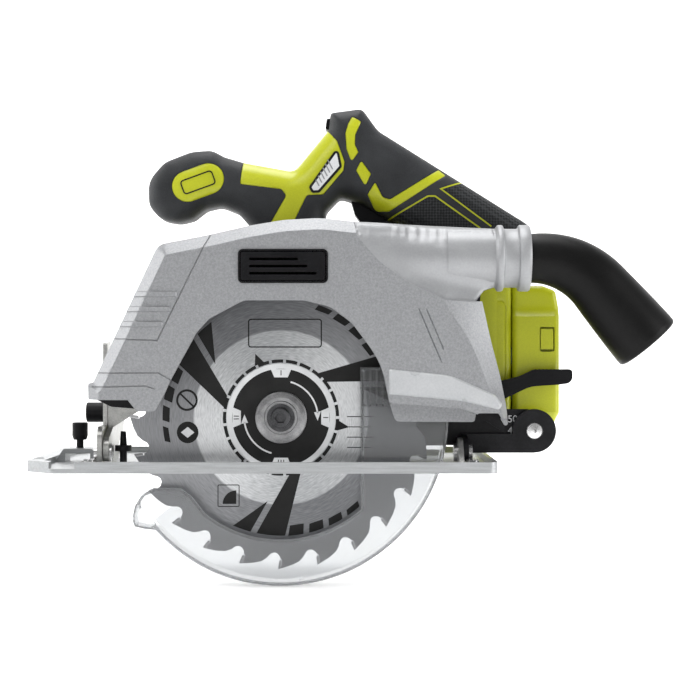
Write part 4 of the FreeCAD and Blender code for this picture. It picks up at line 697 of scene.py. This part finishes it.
# ---- guards
RIM = [(-70.9, 38.6), (-93.0, 38.7, 1), (-93.2, 47.2, 1), (-90.3, 48.0), (-55.4, 122.0, 8),
       (-29.5, 126.9, 60), (-7.2, 132.0, 60), (12, 135.2, 60), (32, 136.3, 60), (49.7, 134.3)]
REAR = [(118.6, 91.4), (123.2, 70.7, 200), (128.5, 50.4, 120), (131.5, 35.3, 60), (133.2, 20.0, 1.2)]
SEAM = [(49.7, 134.3), (51.3, 126.1, 8), (63.5, 112.2, 40), (81.7, 99.4, 40), (99.2, 91.8, 14), (118.6, 91.4)]
BOTTOM = [(126.8, 31.6, 1.5), (115.5, 31.6, 1.5), (114.5, 26.6, 1.5), (72, 26.8, 3), (68.2, 38.8)]
WINDOW = [(68.2, 38.8), (64.6, 56.7, 40), (58.2, 66.9, 30), (48.6, 79.7, 22), (37.0, 88.4, 14),
          (23.2, 91.8, 12), (-9.1, 91.8, 8),
          (-27.6, 82.0, 8), (-34.2, 74.6, 10), (-48.4, 48.6, 1), (-51.3, 42.0, 1), (-56.3, 32.6, 2),
          (-66.1, 32.6, 2)]
LEDGE = [(60.0, 37.8), (106.8, 34.3), (122.0, 28.6), (131.0, 28.6), (140, 28), (140, 10), (60, 10)]
APRON = [(68.2, 55.2, 1), (101.0, 51.8, 30), (125.0, 41.2, 4), (129.6, 36.0, 1.5), (126.6, 33.6, 1),
         (107.0, 38.2, 20), (68.2, 41.8, 1)]
APRON_CROWN = [(68.8, 54.4), (100.6, 51.0, 30), (124.6, 40.6, 4), (128.8, 36.0), (126.8, 34.4),
               (107.0, 39.0, 20), (68.8, 42.5)]
RIBS = [((-75.5, 95.2), (-44.4, 95.2)), ((-79.0, 87.2), (-48.0, 87.2)), ((-82.6, 79.2), (-51.8, 79.2))]
FRONT_SEAM = [(-27.0, 127.5), (-55.2, 70.4), (-80.5, 71.4)]
FLAP_SEAM = [(-88.2, 53.0), (-54.7, 53.2), (-47.0, 48.8)]
NOSE_SEAM = [(-92.2, 45.4), (-61.4, 46.2), (-56.2, 44.4)]
ENGRAVED = [[(84.0, 88.0), (96.5, 58.5)], [(88.0, 88.0), (97.6, 65.2)]]
GROOVES = [FRONT_SEAM, FLAP_SEAM, NOSE_SEAM, *ENGRAVED]
CHAMFER_WIDE, CHAMFER_DEEP = 7.0, 8.0
SPIGOT_Y, SPIGOT_Z = -51.0, 115.0
FACE_BACK = [(96.0, 92.5), (110.9, 71.5, 60), (117.0, 57.6, 60), (121.3, 45.5, 30), (127.0, 35.5, 30),
             (131.5, 24.0)]


def guard_outline():
    """Rim, rear edge, skirt and window edge of the upper guard's face, as one closed loop."""
    return rounded(RIM + SEAM[1:] + REAR[1:] + BOTTOM + WINDOW[1:], 1.5)


def moved(line, amount):
    """An open line moved sideways."""
    along = np.gradient(line, axis=0)
    along /= np.maximum(np.linalg.norm(along, axis=1, keepdims=True), 1e-9)
    return line + np.stack([-along[:, 1], along[:, 0]], 1) * amount


def ramp(loop, points, width=0.45):
    """1 inside an outline, 0 outside, with a short slope just inside its edge."""
    inner = within(points, loop)
    return np.where(inner, np.clip(distance(points, [(loop, True)]) / width, 0, 1), 0.0)


def upper_guard():
    """Cast cover: a face with a broad chamfer along its rim, ribs, seams and a recessed skirt."""
    outline = guard_outline()
    ledge = clean(rounded(LEDGE, 1.5))
    grooves = [strip(line, 0.8) for line in GROOVES]
    centres = [strip(line, 0.2) for line in GROOVES]
    ribs = [strip(line, 3.2) for line in RIBS]
    crowns = [strip(line, 2.2) for line in RIBS]
    apron, apron_crown = rounded(APRON, 1.4), rounded(APRON_CROWN, 1.4)
    front = rounded(RIM[1:] + [(60, 133.5)], 1.5, closed=False)
    back = rounded([(118.0, 96)] + REAR, 1.5, closed=False)
    crease = rounded(FACE_BACK, 1.5, closed=False)
    rows = []
    for share in (0.35, 0.7, 0.93, 1.0, 1.1, 1.3):
        row = moved(front, -CHAMFER_WIDE * share)
        rows.append(row[distance(row, [(front, False)]) > 0.97 * share * CHAMFER_WIDE])
    rows += [crease, moved(crease, 0.8), moved(crease, -0.8), moved(crease, 2.2)]
    lines = [ledge, *grooves, *centres, *ribs, *crowns, apron, apron_crown]
    points, faces, gap = triangulate(outline, [], lines, 1.2, 2.4, rows)
    rim_gap = distance(points, [(front, False)])
    share = np.clip(1 - rim_gap / CHAMFER_WIDE, 0, 1)
    fall = CHAMFER_DEEP * np.where(share < 0.12, share * share / 0.24, share - 0.06)
    from_crease = distance(points, [(crease, False)])
    to_edge = distance(points, [(back, False)])
    behind = np.interp(points[:, 1], crease[::-1, 1], crease[::-1, 0]) < points[:, 0]
    behind &= points[:, 1] < 92.4
    slope = CHAMFER_DEEP * from_crease / np.maximum(from_crease + to_edge, 0.1)
    fall = np.maximum(fall, np.where(behind, slope, 0.0))
    for loop in grooves:
        fall = fall + 0.6 * ramp(loop, points, 0.3)
    for loop in ribs:
        fall = fall - 1.1 * ramp(loop, points, 0.5)
    fall = fall - 0.9 * ramp(apron, points, 0.7)
    fall = np.where(within(points, ledge), np.maximum(fall, 9.0), fall)
    both_rims = [(front, False), (back, False)]
    in_apron = within(points[faces].mean(1), apron)

    def at_rim(flat):
        return distance(flat, both_rims) < 0.25

    piece = face_piece("upper_guard_cover", points, faces[~in_apron], fall, GUARD_FACE, -1, PLATE_Y, CAST,
                       "saw_head", at_rim, lip=2.0, sharp=24)
    face_piece("upper_guard_apron", points, faces[in_apron], fall, GUARD_FACE, -1, PLATE_Y, FROSTED,
               "saw_head", at_rim, lip=2.0, sharp=24)
    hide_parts("upper_guard")


def duct():
    """Corner casting whose face swells into the round spigot."""
    corner_end = [(114.6, 90.8, 2), (119.6, 97.4, 4), (126.0, 99.4), (126.0, 131.0)]
    outline = rounded(SEAM[:-1] + corner_end, 1.5)
    top_edge = rounded([(49.7, 134.3), (126.0, 131.0)], 1.5, closed=False)
    rows = [moved(top_edge, -CHAMFER_WIDE * share) for share in (0.3, 0.6, 0.9, 1.1)]
    points, faces, gap = triangulate(outline, [], [], 1.2, 1.5, rows)
    tube_z, tube_y, tube_r = SPIGOT_Z, SPIGOT_Y, 15.9
    dz = points[:, 1] - tube_z
    reach = np.clip(dz, -tube_r, tube_r)
    round_fall = (tube_y - tube_r - GUARD_FACE) + tube_r - np.sqrt(np.maximum(0, tube_r ** 2 - reach ** 2))
    seam_gap = distance(points, [(rounded(SEAM, 1.5, closed=False), False)])
    valley = 0.8 * np.maximum(seam_gap - 0.5, 0)
    blend = np.clip(0.5 + (valley - round_fall) / 5.0, 0, 1)
    below = valley + (round_fall - valley) * blend - 1.25 * blend * (1 - blend)
    fillet = np.where(dz < 0, np.minimum(below, 9.5), round_fall)
    rim_gap = distance(points, [(top_edge, False)])
    flat_fall = np.clip(1 - rim_gap / CHAMFER_WIDE, 0, 1) * CHAMFER_DEEP
    swell = np.clip((points[:, 0] - 56) / 40, 0, 1)
    swell = swell * swell * (3 - 2 * swell)
    fall = flat_fall + (np.maximum(fillet, 0) - flat_fall) * swell
    right_edge = rounded([(112, 90.8), (114.6, 90.8, 2), (119.6, 97.4, 4), (126.0, 99.4)], 1.5, closed=False)
    right_gap = distance(points, [(right_edge, False)])
    corner_fall = np.clip(1 - right_gap / 15, 0, 1) * 8.5 * np.clip((-11 - dz) / 8, 0, 1)
    fall = np.maximum(fall + corner_fall * 0.6, 0.03)
    fall = relaxed(fall, faces, gap < 0.02, 24)
    top_and_back = [(rounded([(49.7, 134.3), (126.0, 131.0), (126.0, 99.4), (119.6, 97.4, 4),
                              (114.6, 90.8, 2)], 1.5, closed=False), False)]
    piece = face_piece("dust_duct_corner", points, faces, fall, GUARD_FACE, -1, PLATE_Y, DUCT, "saw_head",
                       lambda flat: distance(flat, top_and_back) < 0.25, lip=2.0, sharp=75)
    profile = [(100, 15.7), (125.6, 15.9), (126.4, 16.6), (126.9, 17.6), (127.6, 18.0), (129.4, 18.0),
               (130.1, 17.5), (130.5, 16.2),
               (131.2, 15.9), (137.4, 15.9), (138.2, 16.4), (138.6, 17.6), (139.4, 18.0), (143.8, 18.0),
               (144.6, 17.4), (144.8, 16.4), (144.8, 14.0), (136, 13.8), (112, 13.8)]
    spigot = lathe("dust_duct_spigot", profile, (tube_y, tube_z), DUCT, "saw_head")
    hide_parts("dust_duct")


def lathe(name, profile, at, material, body, steps=96):
    """Turns (x, radius) points about a line along X."""
    verts, faces = [], []
    for x, radius in profile:
        for k in range(steps):
            angle = 2 * math.pi * k / steps
            verts.append((x, at[0] + radius * math.cos(angle), at[1] + radius * math.sin(angle)))
    for i in range(len(profile) - 1):
        for k in range(steps):
            a, b = i * steps + k, i * steps + (k + 1) % steps
            faces.append((a, b, b + steps, a + steps))
    return make_object(name, verts, faces, material, body, 40)


def elbow():
    """Smooth rubber elbow that widens towards its mouth, hollow all the way."""
    turn, bend = math.radians(49.5), 45.0
    reach = bend * math.tan(turn / 2)
    corner_x, y0, z0 = 169.6, SPIGOT_Y, SPIGOT_Z
    start_x = corner_x - reach
    pivot = Vector((start_x, y0, z0 - bend))
    along = Vector((math.cos(turn), 0, -math.sin(turn)))
    bend_end = pivot + Vector((math.sin(turn), 0, math.cos(turn))) * bend
    line = [(Vector((x, y0, z0)), Vector((1, 0, 0))) for x in (134, 140, 145.2, 147)]
    for k in range(25):
        a = turn * k / 24
        line.append((pivot + Vector((math.sin(a), 0, math.cos(a))) * bend,
                     Vector((math.cos(a), 0, -math.sin(a)))))
    for s in (4, 8, 12, 18, 24, 30, 36, 38.6, 39.6, 40.0):
        line.append((bend_end + along * s, along))
    lengths = [0.0]
    for (p, unused_a), (q, unused_b) in zip(line, line[1:]):
        lengths.append(lengths[-1] + (q - p).length)
    stops = [0, 11.5, 20, 35, 50, 62, 80, 93, 200]
    widths = [13.2, 13.3, 13.9, 15.2, 16.3, 17.2, 18.3, 18.8, 18.8]
    radii = [float(np.interp(s, stops, widths)) for s in lengths]
    radii[-3], radii[-2], radii[-1] = radii[-4] - 0.1, radii[-4] - 0.6, radii[-4] - 1.5
    inner = [(p, a, min(r - 2.7, 16.0)) for (p, a), r in zip(line, radii)][::-1]
    inner[0] = (inner[0][0], inner[0][1], 16.3)
    stations = [(p, a, r) for (p, a), r in zip(line, radii)] + inner
    verts, faces, steps = [], [], 96
    for point, axis, radius in stations:
        side, up = Vector((0, 1, 0)), axis.cross(Vector((0, 1, 0)))
        for k in range(steps):
            angle = 2 * math.pi * k / steps
            verts.append(tuple(point + side * (radius * math.cos(angle)) + up * (radius * math.sin(angle))))
    for i in range(len(stations) - 1):
        for k in range(steps):
            a, b = i * steps + k, i * steps + (k + 1) % steps
            faces.append((a, a + steps, b + steps, b))
    made = make_object("dust_elbow_rubber", verts, faces, ELBOW, "dust_elbow", 50)
    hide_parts("dust_elbow")


def clear_bar(name, outline, y_low, y_high, bevel):
    flat_piece(f"lower_guard_{name}", outline, y_low, y_high, CLEAR, "lower_guard",
               bevel=bevel)


def lower_guard():
    """Clear guard: near wall, rim and far wall, each with real thickness."""
    low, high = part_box("lower_guard")
    y_near, y_far = low.y / MM, high.y / MM
    radius = 90.9
    inner_edge = [(53.7, 56.0), (53.7, -21.0), *arc(66.0, 309, 232), (-38.5, -13.6), (-44.0, -9.7),
                  (-58.0, -9.7), (-64.5, -12.4)]
    nose = [(-69.0, -19.0), (-70.5, -26.0), (-69.4, -30.4), (-64, -31.6)]
    outline = clean(rounded(arc(radius, 222, 377) + inner_edge + nose, 1.5))
    points, faces, gap = triangulate(outline, [], [], 2.0, 3.2)
    radial = np.hypot(points[:, 0] - ARBOR[0], points[:, 1] - ARBOR[1])
    fall = dome(np.maximum(radius - radial, 0), 2.2) + 0.02
    wall = face_piece("lower_guard_clear", points, faces, fall, y_near, -1, y_far, CLEAR, "lower_guard",
                      lambda flat: np.hypot(flat[:, 0] - ARBOR[0], flat[:, 1] - ARBOR[1]) > radius - 0.25,
                      lip=1.6, sharp=35)
    thick = wall.modifiers.new("wall", "SOLIDIFY")
    thick.thickness = 1.5 * MM
    thick.offset = -1
    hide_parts("lower_guard")
    far = clean(arc(radius - 1.8, 219, 397) + arc(28, 397, 219))
    clear_bar("far_wall", far, y_far - 1.7, y_far - 0.05, 0.3)
    clear_bar("bead", strip(inner_edge, 1.3), y_near - 0.25, y_near + 1.2, 0.3)
    clear_bar("rim", strip(arc(radius - 1.0, 221, 377), 1.6), y_near - 0.3, y_near + 1.2, 0.3)
    for k, (x, wide) in enumerate(((54.6, 1.4), (58.0, 1.2), (61.4, 1.2), (64.6, 1.4))):
        clear_bar(f"block_rib_{k}", oblong(x, 35.0, x + wide, 55.0), y_near - 1.0, y_near + 1.4, 0.2)
    for k, z in enumerate((34.6, 54.6)):
        clear_bar(f"block_end_{k}", oblong(54.2, z, 67.0, z + 1.3), y_near - 1.0, y_near + 1.4, 0.2)


# ---- prints on the blade
def on_blade(name, loop, level=0, material=PRINT_BLACK, holes=()):
    """A thin printed patch on the blade's near face. level lifts it over the patch below."""
    top = BLADE_FACE - 0.03 - 0.02 * level
    return flat_piece(f"print_{name}", clean(loop), top, BLADE_FACE + 0.1, material, "blade_spindle",
                      [clean(hole) for hole in holes], bevel=0)


def ring_sector(inner, outer, first, last):
    return arc(outer, first, last) + arc(inner, last, first)


def full_ring(inner, outer):
    return arc(outer, 0, 358.5), arc(inner, 0, 358)


def blade_prints():
    """Ring and arrows round the screw, wedges and dashes towards the teeth, plain signs and rules."""
    outer, inner = full_ring(14.1, 26.6)
    on_blade("disc", outer, holes=[inner])
    outer, inner = full_ring(26.6, 29.4)
    on_blade("ring", outer, 0, PRINT_LIGHT, [inner])
    for k, middle in enumerate((90, 180, 270, 360)):
        tab = [polar(27.0, middle - 12), polar(22.2, middle - 9.5), polar(22.2, middle + 9.5),
               polar(27.0, middle + 12)]
        on_blade(f"tab_{k}", tab, 1, PRINT_LIGHT)
        for j in range((k % 3) + 1):
            shift = (j - (k % 3) / 2) * 3.6
            on_blade(f"tick_{k}_{j}", strip([polar(23.0, middle + shift), polar(25.8, middle + shift)], 0.5),
                     2)
    for k, middle in enumerate((45, 225)):
        on_blade(f"arrow_arc_{k}", ring_sector(19.6, 20.5, middle - 38, middle + 30), 1, PRINT_LIGHT)
        head = [polar(22.0, middle - 36), polar(20.05, middle - 50), polar(18.2, middle - 36)]
        on_blade(f"arrow_head_{k}", head, 1, PRINT_LIGHT)
    step = 14.4
    for k in range(25):
        on_blade(f"dash_{k}", ring_sector(29.9, 31.7, k * step + 1.4, k * step + step - 1.4))
    for k, middle in enumerate((112, 232, 352)):
        on_blade(f"point_{k}", [polar(31.5, middle - 5), polar(37.5, middle), polar(31.5, middle + 5)])
    for k, tip in enumerate((-75, 45, 165)):
        spike = [polar(31.6, tip + 5), polar(31.6, tip - 7), polar(64.4, tip - 27),
                 *arc(64.4, tip - 25, tip - 13)]
        on_blade(f"spike_{k}", spike)
        barb = [polar(46.0, tip - 24), polar(64.6, tip - 39), *arc(64.4, tip - 37, tip - 30)]
        on_blade(f"barb_{k}", barb)
        for j in range(4):
            first, thick = tip - 11.5 + 10.2 * j, 5.6 - 0.9 * j
            dash = arc(64.6, first, first + 7.4) + [polar(64.6 - thick, first + 8.6),
                                                    polar(64.6 - thick, first + 1.2)]
            on_blade(f"rim_{k}_{j}", dash)
    plate = rounded(oblong(-8.0, 66.6, 32.3, 82.4, 1.6), 1.0)
    on_blade("label_frame", plate, holes=[offset_loop(plate, 0.7)])
    for k, (x, z) in enumerate(((-41.3, 38.0), (-40.9, 20.4))):
        disc = arc(5.9, 0, 354, (x, z), 0.8)
        on_blade(f"icon_{k}", disc, holes=[arc(4.7, 0, 352, (x, z), 0.8)] if k == 0 else ())
    on_blade("icon_bar", strip([(-45.0, 41.6), (-37.6, 34.4)], 1.0))
    on_blade("icon_mark", [(-44.6, 20.4), (-40.9, 23.4), (-37.2, 20.4), (-40.9, 17.4)], 1, PRINT_LIGHT)
    box = rounded(oblong(-24.6, -20.2, -12.6, -8.0, 0.8), 1.0)
    on_blade("square_frame", box, holes=[offset_loop(box, 0.5)])
    on_blade("square_mark", arc(7.4, 90, 180, (-14.4, -18.6), 0.8) + [(-14.4, -18.6)])
    for k in range(4):
        z = 29.0 - 5.6 * k
        on_blade(f"line_{k}", strip([(46.0, z), (61.0 - 2.0 * (k % 2), z)], 0.5))


# ---- details and CAD nodes
def badge():
    """Border and three plain bars on the guard's plate."""
    low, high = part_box("badge_plate")
    x0, x1, y, z0, z1 = (value / MM for value in (low.x, high.x, low.y, low.z, high.z))

    def patch(name, corners, step, holes=()):
        outline = rounded(corners, step)
        flat_piece(name, outline, y, y + 0.2, PRINT_LIGHT, "saw_head",
                   [offset_loop(outline, gap) for gap in holes], bevel=0)

    patch("badge_border", oblong(x0 + 0.9, z0 + 0.9, x1 - 0.9, z1 - 0.9, 1.8), 1.0, [0.5])
    for k in range(3):
        z = z0 + 5.2 + 3.8 * k
        patch(f"badge_bar_{k}", oblong(x0 + 6, z - 0.7, x1 - 6 - 5 * k, z + 0.7, 0.6), 0.8)


def depth_scale():
    """Ticks and plain numbers on the depth link."""
    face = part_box("depth_link")[0].y / MM
    pivot = (-76.0, 44.0)
    inner, outer, first, apart = 168.4, 171.0, -4.6, 6.6
    for k in range(5):
        angle = first + apart * k
        tick = strip([polar(inner, angle, pivot), polar(outer, angle, pivot)], 0.5)
        flat_piece(f"scale_tick_{k}", clean(tick), face - 0.06, face + 0.1, PLATE_WHITE, "bevel_carriage",
                   bevel=0)
    for k, text in enumerate(("50", "42")):
        curve = bpy.data.curves.new(f"scale_number_{k}", "FONT")
        curve.body = text
        curve.size = 5.6 * MM
        curve.extrude = 0.05 * MM
        curve.align_x = "RIGHT"
        number = bpy.data.objects.new(f"scale_number_{k}", curve)
        number.location = (140.6 * MM, (face - 0.05) * MM, (25.2 - 6.4 * k) * MM)
        number.rotation_euler = (math.pi / 2, 0, 0)
        curve.materials.append(PLATE_WHITE)
        bpy.context.scene.collection.objects.link(number)
        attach(number, "bevel_carriage")


def lever_teeth():
    """Small ridges along the top of the depth lever's pad."""
    y0, y1 = (corner.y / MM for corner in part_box("depth_lever"))
    for k in range(9):
        x = 150.5 + 2.1 * k
        loop = [(x, 54.0), (x + 1.1, 54.0), (x + 0.9, 54.58), (x + 0.2, 54.58)]
        flat_piece(f"lever_tooth_{k}", loop, y0 + 0.3, y1 - 0.3, BLACK, "depth_lever",
                   bevel=0.1)


NODE_LOOK = {"blade_screw": GUNMETAL, "outer_flange": FLANGE, "battery_latch_left": LIME,
             "battery_latch_right": LIME}
BEVELS = {
    "shoe": 0.7, "bevel_quadrant": 0.35, "front_bracket": 0.4, "rear_ear": 0.35, "rear_arm": 0.6,
    "depth_link": 0.5, "guard_backplate": 0.25,
    "gear_case": 0.8, "gear_case_cover": 0.8, "motor_housing": 0.6, "motor_end_cap": 0.5, "depth_lever": 0.9,
    "bevel_knob": 0.3,
    "guide_clamp_screw": 0.3, "trigger": 1.2, "lock_off_button": 0.5, "battery_latch_left": 0.4,
    "battery_latch_right": 0.4,
    "badge_plate": 0.3, "outer_flange": 0.2, "blade_screw": 0.25, "spindle_lock_button": 0.3,
    "terminal_block": 0.4, "guard_lever": 0.6,
}


def dress_nodes():
    """Gives every CAD node its material, and softens the edges of the ones that show."""
    slots = {row["node"]: row["material_slot"] for row in frame["record"]["subparts"]}
    for name, node in NODES.items():
        node.data.materials.clear()
        node.data.materials.append(NODE_LOOK.get(name, SLOT_LOOK[slots[name]]))
        if name in BEVELS:
            soft = node.modifiers.new("soft_edges", "BEVEL")
            soft.width = BEVELS[name] * MM
            soft.segments = 3
            soft.limit_method = "ANGLE"
            soft.angle_limit = math.radians(38)
            soft.harden_normals = True


# ---- floor, light and camera
def floor_material():
    """White that glows a little, so that it stays white behind the saw."""
    made = surface("studio_white", (0.90, 0.90, 0.90), (0.93, 0.93, 0.93), rough=0.8, patch=2, grain=60,
                   bump=0.02)
    shader = made.node_tree.nodes["Principled BSDF"]
    shader.inputs["Emission Color"].default_value = WHITE
    shader.inputs["Emission Strength"].default_value = 0.5
    return made


def studio():
    """Pale floor that sweeps up into a backdrop, with soft light from above and both sides."""
    floor_z, back_y, radius = FLOOR_Z * MM - 0.0005, 1.1, 0.5
    profile = [(-3.0, floor_z), (back_y - radius, floor_z)]
    profile += [(back_y - radius + radius * math.sin(a), floor_z + radius * (1 - math.cos(a)))
                for a in (math.pi / 2 * k / 16 for k in range(1, 17))]
    profile += [(back_y, 3.0)]
    verts = [(x, y, z) for y, z in profile for x in (-3.5, 3.5)]
    faces = [(2 * k, 2 * k + 1, 2 * k + 3, 2 * k + 2) for k in range(len(profile) - 1)]
    mesh = bpy.data.meshes.new("backdrop")
    mesh.from_pydata(verts, [], faces)
    mesh.shade_smooth()
    mesh.materials.append(floor_material())
    backdrop = bpy.data.objects.new("backdrop", mesh)
    bpy.context.scene.collection.objects.link(backdrop)
    world = bpy.data.worlds.new("studio")
    world.use_nodes = True
    fill(world.node_tree, world.node_tree.nodes["Background"], {"Color": WHITE, "Strength": 0.24})
    bpy.context.scene.world = world
    middle = Vector((0.045, -0.02, 0.07))
    for name, at, size, power in (("key", (-0.5, -1.1, 1.0), 0.7, 5), ("left", (-1.1, 0.1, 0.55), 0.8, 8),
                                  ("right", (1.15, -0.55, 0.3), 0.6, 7), ("top", (0.0, 0.08, 1.3), 0.9, 14)):
        light = bpy.data.lights.new(name, "AREA")
        light.size = size
        light.energy = power
        lamp = bpy.data.objects.new(name, light)
        lamp.location = at
        lamp.rotation_euler = (middle - Vector(at)).to_track_quat("-Z", "Y").to_euler()
        bpy.context.scene.collection.objects.link(lamp)


def camera():
    """Level, square to the blade, about a metre away."""
    made = bpy.data.cameras.new("camera")
    made.lens = 90.1
    made.sensor_width = 36
    made.clip_start = 0.01
    seen_from = bpy.data.objects.new("camera", made)
    seen_from.location = (0.0465, -0.995, 0.0664)
    seen_from.rotation_euler = (math.pi / 2, 0, 0)
    bpy.context.scene.collection.objects.link(seen_from)
    bpy.context.scene.camera = seen_from
    bpy.context.scene.view_settings.view_transform = "Standard"


def build():
    dress_nodes()
    for side in (-1, 1):
        handle_half(side)
        handle_details(side)
    battery_socket()
    battery()
    upper_guard()
    duct()
    elbow()
    lower_guard()
    blade_prints()
    badge()
    depth_scale()
    lever_teeth()
    studio()
    camera()


build()
